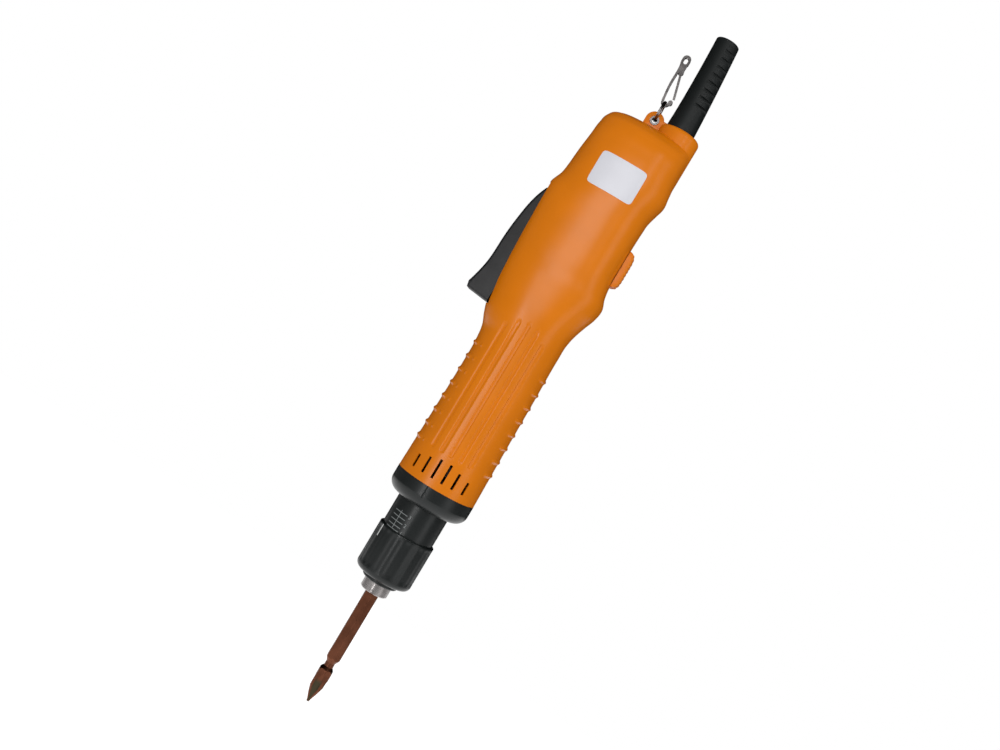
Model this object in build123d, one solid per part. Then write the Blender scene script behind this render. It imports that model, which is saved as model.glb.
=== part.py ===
from build123d import *
import math
import os

# Electric torque screwdriver, in mm. Z is the tool's long axis, +Z to the cord end.
# The origin is the middle of the hanging eye. -X is the start lever's side,
# +X the reversing switch's side, -Y the face with the rating label.

# Moulded housing
wall = 2.2
seam_z = -194.5
head_top_z = -3.4
cavity_top_z = head_top_z - wall
half_points = 8
# Sections of the housing from the top down: height, reach to the lever side,
# reach to the switch side, half depth, and roundness (2 is an ellipse).
housing_sections = [
    (head_top_z, 12.5, 21.4, 12.5, 2.6),
    (-5.2, 17.4, 22.4, 15.8, 2.7),
    (-8.9, 20.2, 22.8, 18.0, 2.8),
    (-13.5, 21.3, 22.9, 19.1, 2.8),
    (-20.5, 22.0, 23.05, 19.7, 2.8),
    (-27.5, 22.7, 23.7, 20.0, 2.8),
    (-32.3, 23.1, 24.2, 20.0, 2.8),
    (-36.5, 23.4, 23.1, 20.0, 2.8),
    (-42.0, 24.2, 21.7, 19.9, 2.8),
    (-47.2, 26.3, 21.3, 19.8, 2.8),
    (-54.0, 26.5, 21.0, 19.6, 2.7),
    (-65.0, 26.3, 21.0, 19.4, 2.7),
    (-76.0, 26.0, 21.1, 19.3, 2.6),
    (-81.5, 25.8, 22.0, 19.2, 2.5),
    (-86.2, 25.7, 23.9, 19.2, 2.5),
    (-91.5, 25.4, 23.2, 19.1, 2.4),
    (-97.5, 25.1, 21.0, 19.0, 2.4),
    (-103.5, 24.3, 19.1, 18.9, 2.3),
    (-109.5, 23.5, 18.1, 18.7, 2.2),
    (-114.5, 21.8, 18.1, 18.6, 2.1),
    (-119.0, 19.9, 18.1, 18.5, 2.0),
    (-125.5, 18.9, 18.2, 18.5, 2.0),
    (-138.0, 18.6, 18.5, 18.5, 2.0),
    (-152.0, 18.7, 18.7, 18.7, 2.0),
    (-166.0, 18.95, 18.95, 18.95, 2.0),
    (-180.0, 19.25, 19.25, 19.25, 2.0),
    (seam_z, 19.55, 19.55, 19.55, 2.0),
]

# Cable collar, boot and hanging tab
collar_x = 13.5
collar_radius = 9.9
collar_top_z = 3.0
collar_edge_radius = 2.2
collar_depth = 33.0
collar_rib_x = 21.3
cord_bore_x = 11.3
cord_bore_radius = 3.3
boot_top_z = 48.9
boot_base_radius = 6.9
boot_tip_radius = 5.75
boot_tip_x = 10.3
boot_base_x = 12.1
boot_clearance = 0.2
boot_slot_pitch = 4.05
boot_slot_height = 1.5
boot_slot_depth = 2.1
boot_slots = 9
boot_flange_radius = 8.8
boot_flange_thickness = 2.6
tab_radius = 4.4
tab_thickness = 3.0
tab_foot_width = 11.8
eye_bore_radius = 1.25
eyelet_flange_radius = 2.15
eyelet_tube_radius = 1.65
eyelet_flange_thickness = 0.5

# Start lever, its pin and slot
lever_pivot_x = -21.4
lever_pivot_z = -53.2
lever_pin_radius = 1.5
lever_width = 14.0
lever_side_gap = 0.4
lever_end_z = -109.4
lever_tip_x = -34.8
lever_tip_z = -105.4
lever_edge_fillet = 1.2
lever_throw_deg = 5.5
lever_spring_radius = 2.2
lever_spring_wire = 0.3
lever_notch = 4.4

# Reversing knob and its slot
knob_z = -66.2
knob_length = 18.2
knob_width = 10.0
knob_height = 3.3
knob_face_x = 21.5
knob_throw = 2.5
knob_stem_width = 4.4
knob_stem_length = 8.0
knob_teeth = 7
slide_clearance = 0.3

# Grip: cooling slots, grooves and side ribs
vent_count = 6
vent_pitch = 5.03
vent_width = 1.2
vent_bottom_z = -189.1
vent_tops = [-183.0, -181.3, -179.7]
groove_pitch = 4.8
groove_width = 2.0
groove_depth = 0.5
groove_bottom_z = -177.4
groove_tops = [-113.7, -109.6, -109.1, -109.6, -113.7]
rib_count = 8
rib_pitch = 7.07
rib_bottom_z = -177.4
rib_height = 0.6
rib_half_width = 1.3
rib_half_angle = 42.0

# Label
label_width = 22.4
label_height = 16.0
label_thickness = 0.3
label_x = -0.3
label_z = -34.3
label_corner = 2.0

# Screws that close the housing
screw_places = [(-15.6, -16.0), (17.3, -39.5), (14.6, -104.0), (-15.8, -115.0)]
screw_boss_radius = 3.8
skin_bury = 0.8
screw_radius = 1.4
screw_head_radius = 2.6
screw_head_height = 2.0

# Rings inside the grip that hold the motor
motor_rest_places = [-177.0, -152.0, -131.0]
motor_rest_width = 2.0

# Front cap, clutch housing and torque nut
cap_radius = 19.6
cap_height = 10.0
cap_edge_radius = 5.5
cap_spigot_length = 4.0
cap_floor = 2.2
neck_flange_thickness = 2.0
neck_radius = 12.7
neck_bore_radius = 11.2
neck_end_z = -231.5
neck_flange_radius = 16.8
neck_cup_radius = 14.9
nut_radius = 13.8
nut_skirt_bore_radius = 12.8
nut_top_z = -219.1
nut_bottom_z = -240.5
nut_boss_radius = 8.2
nut_boss_end_z = -244.1
nut_hole_radius = 7.0
nut_push_radius = 10.8
nut_floor = 1.3
nut_flutes = 24
nut_flute_depth = 0.25
thread_pitch = 2.1

# Gear train
gear_module = 0.5
sun_teeth = 12
planet_teeth = 15
ring_teeth = sun_teeth + 2 * planet_teeth
pressure_deg = 25.0
flank_gap = 0.05
ring_gear_radius = 13.0
planet_height = 4.4
planet_pin_radius = 1.0
running_fit = 0.03
axial_gap = 0.3
carrier_plate = 1.6
gear_floor_z = seam_z - cap_height + cap_floor + 0.9

# Output spindle, sleeve and bit
spindle_radius = 5.0
spindle_end_z = -248.4
sleeve_radius = 6.65
sleeve_end_z = -248.9
sleeve_top_z = -236.2
sleeve_recess_radius = 5.95
sleeve_travel = 3.0
bit_flats = 6.35
bit_flats_clearance = 0.04
bit_length = 82.0
bit_tip_z = -306.9
bit_neck_z = -287.6
bit_neck_radius = 2.4
bit_neck_length = 5.0
bit_taper_length = 8.6
bit_tip_radius = 1.5
lock_ball_radius = 1.25

# Motor
motor_radius = 15.4
motor_wall = 1.4
motor_bottom_z = -178.6
motor_top_z = -126.5
shaft_radius = 1.6
bearing_radius = 4.5
bearing_height = 3.0
core_radius = 10.6
core_bottom_z = -169.0
core_top_z = -143.5
magnet_gap = 0.5
fan_radius = 14.8
fan_blades = 9
fan_bottom_z = -186.2
fan_top_z = -181.2

# Ring and hook
ring_mean_radius = 4.9
ring_wire_radius = 0.38
ring_wire_step = 0.34
hook_strip = 1.1
hook_thickness = 2.4
hook_clearance = 0.05
hook_seat_radius = 1.5
bulb_x = -1.65
bulb_z = 30.7
bulb_radius = 1.45
bulb_stretch = 1.4
gate_pivot_x = -0.9
gate_pivot_z = 25.3
gate_end_x = 2.55
gate_end_z = 12.9
knob_ball_x = 1.98
knob_ball_z = 10.75
knob_ball_radius = 1.1


def disc(radius, z0, z1, x=0.0, y=0.0):
    return Pos(x, y, z0) * Cylinder(radius, z1 - z0, align=(Align.CENTER, Align.CENTER, Align.MIN))


def tube(radius, bore, z0, z1, x=0.0, y=0.0):
    return disc(radius, z0, z1, x, y) - disc(bore, z0 - 1, z1 + 1, x, y)


def block(x0, x1, y0, y1, z0, z1):
    return Pos((x0 + x1) / 2, (y0 + y1) / 2, (z0 + z1) / 2) * Box(x1 - x0, y1 - y0, z1 - z0)


def rod_y(radius, y0, y1, x, z):
    return Pos(x, (y0 + y1) / 2, z) * Rot(90, 0, 0) * Cylinder(radius, y1 - y0)


def rod_x(radius, x0, x1, y, z):
    return Pos((x0 + x1) / 2, y, z) * Rot(0, 90, 0) * Cylinder(radius, x1 - x0)


def turned(points):
    face = make_face(Polyline(*points, close=True))
    return revolve(Plane.XZ * face, axis=Axis.Z)


def plate_xz(face, y0, y1):
    return Pos(0, y1, 0) * extrude(Plane.XZ * face, amount=y1 - y0)


def slot_xz(x, z0, z1, width):
    middle = Pos(x, (z0 + z1) / 2) * Rectangle(width, z1 - z0 - width)
    return middle + Pos(x, z0 + width / 2) * Circle(width / 2) + Pos(x, z1 - width / 2) * Circle(width / 2)


def half_points_at(z, left, right, depth, power, inset):
    """Points round the front half of one section, from the lever side to the switch side."""
    points = []
    for k in range(half_points + 1):
        angle = math.radians(180 + 180 * k / half_points)
        across = math.cos(angle)
        along = 0.0 if k in (0, half_points) else math.sin(angle)
        reach = right if across > 0 else left
        x = math.copysign((reach - inset) * abs(across) ** (2 / power), across)
        points.append((x, -(depth - inset) * abs(along) ** (2 / power), z))
    return points


def section_between(z):
    """The section at any height, from the two stations around it."""
    for upper, lower in zip(housing_sections, housing_sections[1:]):
        if upper[0] >= z >= lower[0]:
            share = (upper[0] - z) / (upper[0] - lower[0])
            mixed = [a + (b - a) * share for a, b in zip(upper[1:], lower[1:])]
            return (z, *mixed)
    return housing_sections[-1]


def skin(inset, top, bottom):
    """The front half of the housing's form, moved inward by inset, as one smooth face."""
    inner = [row for row in housing_sections if bottom < row[0] < top]
    rows = [section_between(top), *inner, section_between(bottom)]
    grid = [half_points_at(*row, inset) for row in rows]
    steps = [k / half_points for k in range(half_points + 1)]
    ends = [(0, -1, 0), (0, 1, 0)]
    profiles = [Edge.make_spline(points, tangents=ends, parameters=steps) for points in grid]
    heights = [(top - row[0]) / (top - bottom) for row in rows]
    columns = zip(*grid)
    guides = [Edge.make_spline(list(column), parameters=heights) for column in columns]
    return Face.make_gordon_surface(profiles, guides, tolerance=1e-4)


def skin_rims(face):
    """The four edges of a skin: top, bottom, lever side and switch side."""
    edges = face.edges()
    top = max(edges, key=lambda edge: edge.center().Z)
    bottom = min(edges, key=lambda edge: edge.center().Z)
    left = min(edges, key=lambda edge: edge.center().X)
    right = max(edges, key=lambda edge: edge.center().X)
    return top, bottom, left, right


def end_at(edge, side):
    return max((edge @ 0, edge @ 1), key=lambda point: point.X * side)


def half_form(inset, top, bottom):
    """A solid front half of the housing's form."""
    face = skin(inset, top, bottom)
    upper, lower, left, right = skin_rims(face)
    roof = Edge.make_line(upper @ 0, upper @ 1)
    floor = Edge.make_line(lower @ 0, lower @ 1)
    caps = [Face(Wire([upper, roof])), Face(Wire([lower, floor])), Face(Wire([left, roof, right, floor]))]
    return Part() + Solid(Shell([face, *caps]))


def half_walls():
    """The front half of the housing as one hollow moulding, open at the parting face and the foot."""
    faces = []
    rims = []
    for inset, ceiling in ((0.0, head_top_z), (wall, cavity_top_z)):
        face = skin(inset, ceiling, seam_z)
        upper, lower, left, right = skin_rims(face)
        roof = Edge.make_line(upper @ 0, upper @ 1)
        faces += [face, Face(Wire([upper, roof]))]
        rims.append((roof, lower, left, right))
    (roof_out, lower_out, left_out, right_out), (roof_in, lower_in, left_in, right_in) = rims
    foot_left = Edge.make_line(end_at(lower_out, -1), end_at(lower_in, -1))
    foot_right = Edge.make_line(end_at(lower_out, 1), end_at(lower_in, 1))
    faces.append(Face(Wire([lower_out, foot_right, lower_in, foot_left])))
    parting = [left_out, roof_out, right_out, foot_right, right_in, roof_in, left_in, foot_left]
    faces.append(Face(Wire(parting)))
    return Part() + Solid(Shell(faces))


def skin_depth(x, z, inset):
    """How far the skin lies from the parting face at one place."""
    z, left, right, depth, power = section_between(z)
    reach = (right if x > 0 else left) - inset
    return (depth - inset) * max(0.0, 1 - abs(x / reach) ** power) ** (1 / power)


def gear_points(teeth, addendum, dedendum, gap):
    """Involute flanks in short flat steps; gap is taken off each flank."""
    pitch_radius = gear_module * teeth / 2
    pressure = math.radians(pressure_deg)
    base_radius = pitch_radius * math.cos(pressure)
    tip = pitch_radius + addendum
    root = pitch_radius - dedendum
    half_at_pitch = math.pi / (2 * teeth) - gap / pitch_radius
    inv_pitch = math.tan(pressure) - pressure
    start = max(root, base_radius)
    flank = []
    for radius in (start, (start + pitch_radius) / 2, pitch_radius, (pitch_radius + tip) / 2, tip):
        roll = math.acos(min(1.0, base_radius / radius))
        flank.append((radius, half_at_pitch + inv_pitch - (math.tan(roll) - roll)))
    if root < start:
        flank.insert(0, (root, flank[0][1]))
    points = []
    for k in range(teeth):
        centre = 2 * math.pi * k / teeth
        for radius, half in flank:
            points.append((radius * math.cos(centre - half), radius * math.sin(centre - half)))
        for radius, half in reversed(flank):
            points.append((radius * math.cos(centre + half), radius * math.sin(centre + half)))
    return points


def gear(teeth, height, z0, turn=0.0):
    points = gear_points(teeth, 0.9 * gear_module, 1.15 * gear_module, flank_gap)
    face = make_face(Polyline(*points, close=True))
    return Pos(0, 0, z0) * Rot(0, 0, turn) * extrude(face, amount=height)


def coil(mean_radius, wire, z0, z1, turns):
    """A round-wire helical spring between two flat ends."""
    height = z1 - z0 - 2 * wire
    path = Pos(0, 0, z0 + wire) * Helix(height / turns, height, mean_radius)
    start = path.edge()
    profile = Plane(start @ 0, z_dir=start % 0) * Circle(wire)
    return sweep(profile, path=start, is_frenet=True)


def save(part, name):
    export_step(part, "parts/" + name + ".step")
    box = part.bounding_box()
    print(name, len(part.solids()), round(part.volume, 2), box.min, box.max)


os.makedirs("parts", exist_ok=True)

# Housing: a hollow half with what both halves share, then the front half and its mirror image
front_half = block(-100, 100, -100, 0, -400, 100)
shell = half_walls()
buried = half_form(skin_bury, head_top_z - skin_bury, seam_z + skin_bury)
collar = disc(collar_radius, collar_top_z - collar_depth, collar_top_z, collar_x)
collar = fillet(collar.edges().group_by(Axis.Z)[-1], collar_edge_radius)
collar -= block(-30, collar_rib_x, -30, 30, collar_top_z - collar_depth - 1, cavity_top_z)
shell += collar & front_half
tab_face = Circle(tab_radius) + Pos(0, head_top_z - 1.5) * Rectangle(tab_foot_width, 4.0)
shell += plate_xz(tab_face, -tab_thickness / 2, 0)

rib_core = rib_half_width * rib_half_width / (2 * rib_height) + rib_height / 2
for k in range(rib_count):
    rib_z = rib_bottom_z + k * rib_pitch
    arc_radius = section_between(rib_z)[1] + rib_height - rib_core
    ring_face = Plane.XZ * (Pos(arc_radius, rib_z) * Circle(rib_core))
    for start in (-rib_half_angle, 180):
        shell += Rot(0, 0, start) * revolve(ring_face, axis=Axis.Z, revolution_arc=rib_half_angle)

groove_core = disc(section_between(-150)[3] - groove_depth, groove_bottom_z - 2, groove_tops[2] + 2)
for k, top in enumerate(groove_tops):
    groove_x = (k - (len(groove_tops) - 1) / 2) * groove_pitch
    shell -= plate_xz(slot_xz(groove_x, groove_bottom_z, top, groove_width), -30, -1) - groove_core
for z in motor_rest_places:
    rest_radius = section_between(z)[3] - wall / 2
    shell += tube(rest_radius, motor_radius, z, z + motor_rest_width) & front_half

lever_half = lever_width / 2 + lever_side_gap
shell -= block(-40, -17, -lever_half, lever_half, lever_end_z - 0.5, lever_pivot_z + 5.4)
knob_slot_half = knob_stem_length / 2 + knob_throw + slide_clearance
knob_slot_width = knob_stem_width / 2 + slide_clearance
shell -= block(15, 30, -knob_slot_width, knob_slot_width, knob_z - knob_slot_half, knob_z + knob_slot_half)
for k in range(vent_count):
    vent_x = (k - (vent_count - 1) / 2) * vent_pitch
    vent_top = vent_tops[min(k, vent_count - 1 - k)]
    shell -= plate_xz(slot_xz(vent_x, vent_bottom_z, vent_top, vent_width), -30, -1)
shell -= disc(boot_base_radius + boot_clearance, cavity_top_z - 8, collar_top_z + 1, boot_base_x)
shell -= disc(boot_flange_radius + boot_clearance, cavity_top_z - 5, cavity_top_z, boot_base_x)
shell -= rod_y(eyelet_tube_radius, -5, 5, 0, 0)
shell += rod_y(lever_pin_radius + 2.2, -30, -lever_half, lever_pivot_x, lever_pivot_z) & buried
shell -= rod_y(lever_pin_radius, -lever_half - 2.5, lever_half, lever_pivot_x, lever_pivot_z)
for x, z in screw_places:
    shell += rod_y(screw_boss_radius, -30, 0, x, z) & buried

front_shell = shell
rear_shell = mirror(shell, about=Plane.XZ)
buried_rear = mirror(buried, about=Plane.XZ)
screws = []
for x, z in screw_places:
    head_y = skin_depth(x, z, 0) - 4.0
    front_shell -= rod_y(screw_radius, -9.2, 1, x, z)
    rear_shell -= rod_y(screw_radius + 0.15, -1, 30, x, z)
    rear_shell -= rod_y(screw_head_radius + 0.1, head_y, 30, x, z)
    screw = rod_y(screw_radius, -9.0, head_y, x, z)
    screw += rod_y(screw_head_radius, head_y, head_y + screw_head_height, x, z)
    drive_y = head_y + screw_head_height
    screw -= block(x - 1.6, x + 1.6, drive_y - 0.8, drive_y + 1, z - 0.35, z + 0.35)
    screw -= block(x - 0.35, x + 0.35, drive_y - 0.8, drive_y + 1, z - 1.6, z + 1.6)
    screws.append(screw)

label_face = Pos(label_x, label_z) * RectangleRounded(label_width, label_height, label_corner)
label = plate_xz(label_face, -40, -8) & half_form(-label_thickness, head_top_z, seam_z)
label -= half_form(0.0, head_top_z, seam_z)

eyelet = tube(eyelet_tube_radius, eye_bore_radius, -tab_thickness / 2, tab_thickness / 2)
for side in (-1, 1):
    edge = side * tab_thickness / 2
    z0, z1 = sorted((edge, edge + side * eyelet_flange_thickness))
    eyelet += tube(eyelet_flange_radius, eye_bore_radius, z0, z1)
eyelet = Rot(90, 0, 0) * eyelet

# Rubber boot, slightly bent, with strain-relief slots
boot_bend_z = (collar_top_z + boot_top_z) / 2
boot_rows = [
    (cavity_top_z - boot_flange_thickness, boot_base_x, boot_base_radius),
    (collar_top_z, boot_base_x, boot_base_radius),
    (boot_bend_z, (boot_base_x * 0.68 + boot_tip_x * 0.32), (boot_base_radius + boot_tip_radius) / 2 + 0.1),
    (boot_top_z, boot_tip_x, boot_tip_radius),
]
boot = loft([Pos(x, 0, z) * Circle(radius) for z, x, radius in boot_rows[1:]])
boot += disc(boot_base_radius, boot_rows[0][0], collar_top_z, boot_base_x)
boot += disc(boot_flange_radius, boot_rows[0][0], cavity_top_z - 0.1, boot_base_x)
for k in range(boot_slots):
    slot_z = boot_top_z - 2.6 - k * boot_slot_pitch
    share = (slot_z - collar_top_z) / (boot_top_z - collar_top_z)
    centre = boot_base_x + (boot_tip_x - boot_base_x) * share ** 1.6
    radius = boot_base_radius + (boot_tip_radius - boot_base_radius) * share
    cut = tube(radius + 3, radius - boot_slot_depth, slot_z - boot_slot_height, slot_z, centre)
    front_cut = cut & Pos(centre, 0, 0) * Rot(0, 0, -50) * block(1.2, 20, -20, 20, -20, 60)
    boot -= front_cut
    back_cut = cut & Pos(centre, 0, 0) * Rot(0, 0, 130) * block(1.2, 20, -20, 20, -20, 60)
    boot -= Pos(0, 0, -boot_slot_pitch / 2) * back_cut
boot -= disc(cord_bore_radius, cavity_top_z - 20, boot_top_z + 5, cord_bore_x)

clamp_z = -17.0
clamp_face = block(4.2, 18.6, 2.8, 6.4, clamp_z - 3, clamp_z + 3)
clamp_notch = disc(cord_bore_radius + 0.2, clamp_z - 5, clamp_z + 5, cord_bore_x)
cord_clamp = clamp_face - clamp_notch
clamp_screws = []
for x in (cord_bore_x - 5.6, cord_bore_x + 5.6):
    cord_clamp -= rod_y(1.15, 0, 10, x, clamp_z)
    clamp_screw = rod_y(1.1, 2.8, 13, x, clamp_z) + rod_y(1.9, 1.4, 2.8, x, clamp_z)
    clamp_screws.append(clamp_screw)
    post = rod_y(2.4, 6.4, 30, x, clamp_z) & buried_rear
    rear_shell += post
    rear_shell -= rod_y(1.1, 6, 13.2, x, clamp_z)

# Start lever
lever_curve = Spline(
    (lever_pivot_x - 4.7, lever_pivot_z + 1.4), (-28.4, -58.0), (-30.4, -68.9), (-31.5, -81.7),
    (-32.0, -93.0), (-33.3, -99.9), (lever_tip_x, lever_tip_z),
)
lever_face = make_face([
    lever_curve.edge(),
    Line((lever_tip_x, lever_tip_z), (lever_tip_x + 0.6, lever_end_z + 1.3)).edge(),
    Line((lever_tip_x + 0.6, lever_end_z + 1.3), (-23.0, lever_end_z)).edge(),
    Line((-23.0, lever_end_z), (lever_pivot_x, lever_pivot_z - 4.2)).edge(),
    Line((lever_pivot_x, lever_pivot_z - 4.2), (lever_pivot_x, lever_pivot_z + 4.2)).edge(),
    Line((lever_pivot_x, lever_pivot_z + 4.2), (lever_pivot_x - 4.7, lever_pivot_z + 1.4)).edge(),
])
lever_face = fillet(lever_face.vertices().group_by(Axis.X)[0], 1.2)
lever = plate_xz(lever_face, -lever_width / 2, lever_width / 2)
lever_rim = [
    edge for edge in lever.edges()
    if abs(abs(edge.center().Y) - lever_width / 2) < 0.01 and edge.center().X < -25.0 and edge.center().Z < lever_pivot_z
]
lever = fillet(lever_rim, lever_edge_fillet)
lever += rod_y(4.2, -lever_width / 2, lever_width / 2, lever_pivot_x, lever_pivot_z)
lever -= block(lever_pivot_x + 2.6, 0, -20, 20, -120, -40)
lever -= rod_y(lever_pin_radius + running_fit, -20, 20, lever_pivot_x, lever_pivot_z)
lever -= rod_y(lever_spring_radius + 0.9, -lever_notch / 2, lever_notch / 2, lever_pivot_x, lever_pivot_z)
lever_pin = rod_y(lever_pin_radius, -lever_half - 2.4, lever_half + 2.4, lever_pivot_x, lever_pivot_z)
lever_coil = coil(lever_spring_radius, lever_spring_wire, -lever_notch / 2 + 0.4, lever_notch / 2 - 0.4, 3)
lever_spring = Pos(lever_pivot_x, 0, lever_pivot_z) * Rot(90, 0, 0) * lever_coil

# Start switch with its plunger, and the reversing switch with its knob
plunger_z = -69.0
plunger_tip_x = lever_pivot_x
plunger_radius = 1.5
plunger_gap = 0.05
lever_pad = rod_x(2.2, lever_pivot_x - 4, plunger_tip_x, 0, plunger_z)
lever += lever_pad
start_switch = block(-17.6, -11.6, -3.2, 7.0, -79.0, -59.0)
start_switch -= rod_x(plunger_radius + slide_clearance / 3, -20, -13.0, 0, plunger_z)
plunger_x = plunger_tip_x + plunger_gap + plunger_radius
plunger = rod_x(plunger_radius, plunger_x, -15.0, 0, plunger_z)
plunger += Pos(plunger_x, 0, plunger_z) * Sphere(plunger_radius)

reversing_switch = block(12.0, 17.9, -4.6, 7.0, knob_z - 9.5, knob_z + 9.5)
knob = block(
    knob_face_x, knob_face_x + knob_height, -knob_width / 2, knob_width / 2,
    knob_z - knob_length / 2, knob_z + knob_length / 2,
)
knob = fillet(knob.edges().filter_by(Axis.Y).group_by(Axis.X)[-1], 1.4)
knob = fillet(knob.edges().filter_by(Axis.Z).group_by(Axis.X)[-1], 1.0)
tooth_pitch = (knob_length - 3.4) / knob_teeth
for k in range(knob_teeth + 1):
    notch_z = knob_z + (k - knob_teeth / 2) * tooth_pitch
    knob -= Pos(knob_face_x + knob_height + 0.35, 0, notch_z) * Rot(90, 0, 0) * Cylinder(0.75, knob_width + 2)
knob += block(
    18.2, knob_face_x + 0.5, -knob_stem_width / 2, knob_stem_width / 2,
    knob_z - knob_stem_length / 2, knob_z + knob_stem_length / 2,
)

# Circuit board with its parts, on posts from the rear shell
board_face_y = 7.0
board_thickness = 1.6
board = block(-14.0, 13.4, board_face_y, board_face_y + board_thickness, -97.0, -26.0)
board_parts = [
    rod_y(4.0, board_face_y - 11, board_face_y, -4.5, -38.0),
    block(-11.5, 8.5, board_face_y - 6, board_face_y, -55.0, -47.5),
    rod_y(3.2, board_face_y - 9, board_face_y, 5.5, -84.0),
    block(-9.0, 0.0, board_face_y - 5, board_face_y, -92.0, -85.0),
    rod_y(2.4, board_face_y - 7, board_face_y, 6.0, -66.0),
]
for x, z in [(-11.0, -30.0), (10.4, -30.0), (-11.0, -93.5), (10.4, -93.5)]:
    post = rod_y(2.2, board_face_y + board_thickness, 30, x, z) & buried_rear
    rear_shell += post

# Motor: can, magnets, end cap, brushes and bearings
bearing_seat_z = motor_bottom_z + bearing_height
motor_can = tube(motor_radius, motor_radius - motor_wall, motor_bottom_z, motor_top_z)
motor_can += disc(motor_radius, motor_bottom_z, motor_bottom_z + motor_wall)
motor_can += disc(bearing_radius + 1.2, motor_bottom_z, bearing_seat_z + 0.8)
motor_can -= disc(bearing_radius, motor_bottom_z - 1, bearing_seat_z)
motor_can -= disc(shaft_radius + 0.8, motor_bottom_z - 1, bearing_seat_z + 2)
for k in range(4):
    window = Rot(0, 0, 45 + 90 * k) * block(8.0, 12.0, -1.6, 1.6, motor_bottom_z - 1, motor_bottom_z + 1.9)
    motor_can -= window
magnet_outer = motor_radius - motor_wall
magnets = tube(magnet_outer, core_radius + magnet_gap, core_bottom_z - 1, core_top_z + 1)
magnets -= block(-3.0, 3.0, -30, 30, -200, -100)
end_cap_floor = motor_top_z - 1.5
motor_end_cap = tube(motor_radius - motor_wall - 0.02, bearing_radius, end_cap_floor - 3.5, motor_top_z)
motor_end_cap += tube(motor_radius, bearing_radius, motor_top_z, motor_top_z + 2.4)
motor_end_cap += disc(bearing_radius + 1.4, motor_top_z, motor_top_z + 4.4)
motor_end_cap -= disc(bearing_radius, motor_top_z - 20, motor_top_z + bearing_height)
motor_end_cap -= disc(shaft_radius + 0.5, motor_top_z - 20, motor_top_z + 3.6)
commutator_radius = 4.0
commutator_z0 = motor_top_z - 11.0
commutator_z1 = motor_top_z - 2.2
brush_z = motor_top_z - 7.5
brushes = []
for side in (0, 180):
    brush = block(commutator_radius + 0.1, 12.6, -1.6, 1.6, brush_z - 2, brush_z + 2.4)
    brushes.append(Rot(0, 0, side) * brush)
    holder = block(commutator_radius + 1.6, 13.6, -2.8, 2.8, brush_z - 3.2, end_cap_floor - 3.0)
    holder -= block(0, 12.6, -1.6, 1.6, brush_z - 2, brush_z + 2.4)
    motor_end_cap += Rot(0, 0, side) * holder
bearing_places = [motor_bottom_z, motor_top_z]
motor_bearings = [tube(bearing_radius, shaft_radius + 0.02, z, z + bearing_height) for z in bearing_places]

gear_top_z = gear_floor_z + 2 * planet_height + carrier_plate + 4 * axial_gap
pinion_z = gear_top_z - axial_gap - planet_height
motor_shaft = disc(shaft_radius, pinion_z, motor_top_z + bearing_height)
rotor_core = disc(core_radius, core_bottom_z, core_top_z)
for k in range(8):
    slot = Rot(0, 0, 45 * k) * (block(core_radius - 1.4, 20, -0.5, 0.5, -200, -100))
    slot += Rot(0, 0, 45 * k) * Pos(core_radius - 3.6, 0, -200) * Cylinder(2.0, 200)
    rotor_core -= slot
rotor_core -= disc(shaft_radius, -200, -100)
windings = tube(core_radius - 2.2, shaft_radius + 1.4, core_top_z, core_top_z + 3.4)
windings += tube(core_radius - 2.2, shaft_radius + 1.4, core_bottom_z - 3.4, core_bottom_z)
for k in range(8):
    bundle = Rot(0, 0, 45 * k) * Pos(core_radius - 3.6, 0, core_bottom_z - 1)
    windings += bundle * Cylinder(1.8, core_top_z - core_bottom_z + 2, align=(Align.CENTER, Align.CENTER, Align.MIN))
commutator = tube(commutator_radius, shaft_radius, commutator_z0, commutator_z1)
for k in range(8):
    commutator -= Rot(0, 0, 45 * k + 22.5) * block(commutator_radius - 0.6, 10, -0.2, 0.2, -200, -100)
fan = disc(4.0, fan_bottom_z, fan_top_z) + disc(fan_radius, fan_top_z - 1.0, fan_top_z)
for k in range(fan_blades):
    blade = Rot(0, 0, 360 * k / fan_blades) * Pos(0, 0, 0) * block(3.0, fan_radius, -0.5, 0.5, fan_bottom_z, fan_top_z)
    fan += blade
fan -= disc(shaft_radius, -200, -100)

# Gear train
stage_2_z = gear_floor_z + axial_gap
carrier_1_z = stage_2_z + planet_height + axial_gap
stage_1_z = carrier_1_z + carrier_plate + axial_gap
planet_place = gear_module * (sun_teeth + planet_teeth) / 2
sun_pinion = gear(sun_teeth, planet_height, stage_1_z) - disc(shaft_radius, -220, -150)
ring_space = gear_points(ring_teeth, 1.15 * gear_module, 0.8 * gear_module, -flank_gap)
ring_gear = disc(ring_gear_radius, gear_floor_z, gear_top_z)
ring_gear -= Pos(0, 0, gear_floor_z - 1) * extrude(make_face(Polyline(*ring_space, close=True)), amount=40)
sun_root = gear_module * sun_teeth / 2 - 1.15 * gear_module
carrier_radius = gear_module * ring_teeth / 2 - 0.8 * gear_module - 0.4
stage_1_carrier = disc(carrier_radius, carrier_1_z, carrier_1_z + carrier_plate)
stage_1_carrier += gear(sun_teeth, planet_height, stage_2_z)
stage_1_carrier += disc(sun_root - 0.12, stage_2_z + planet_height - 0.2, carrier_1_z + 0.2)
planets = {1: [], 2: []}
for number in range(3):
    turn = 120 * number
    place = Rot(0, 0, turn) * Pos(planet_place, 0, 0)
    for stage, z in ((1, stage_1_z), (2, stage_2_z)):
        body = gear(planet_teeth, planet_height, z, 180 + 180 / planet_teeth)
        body -= disc(planet_pin_radius + running_fit, z - 1, z + planet_height + 1)
        planets[stage].append(place * body)
    stage_1_carrier += place * disc(planet_pin_radius, carrier_1_z + 0.2, stage_1_z + planet_height)

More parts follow.
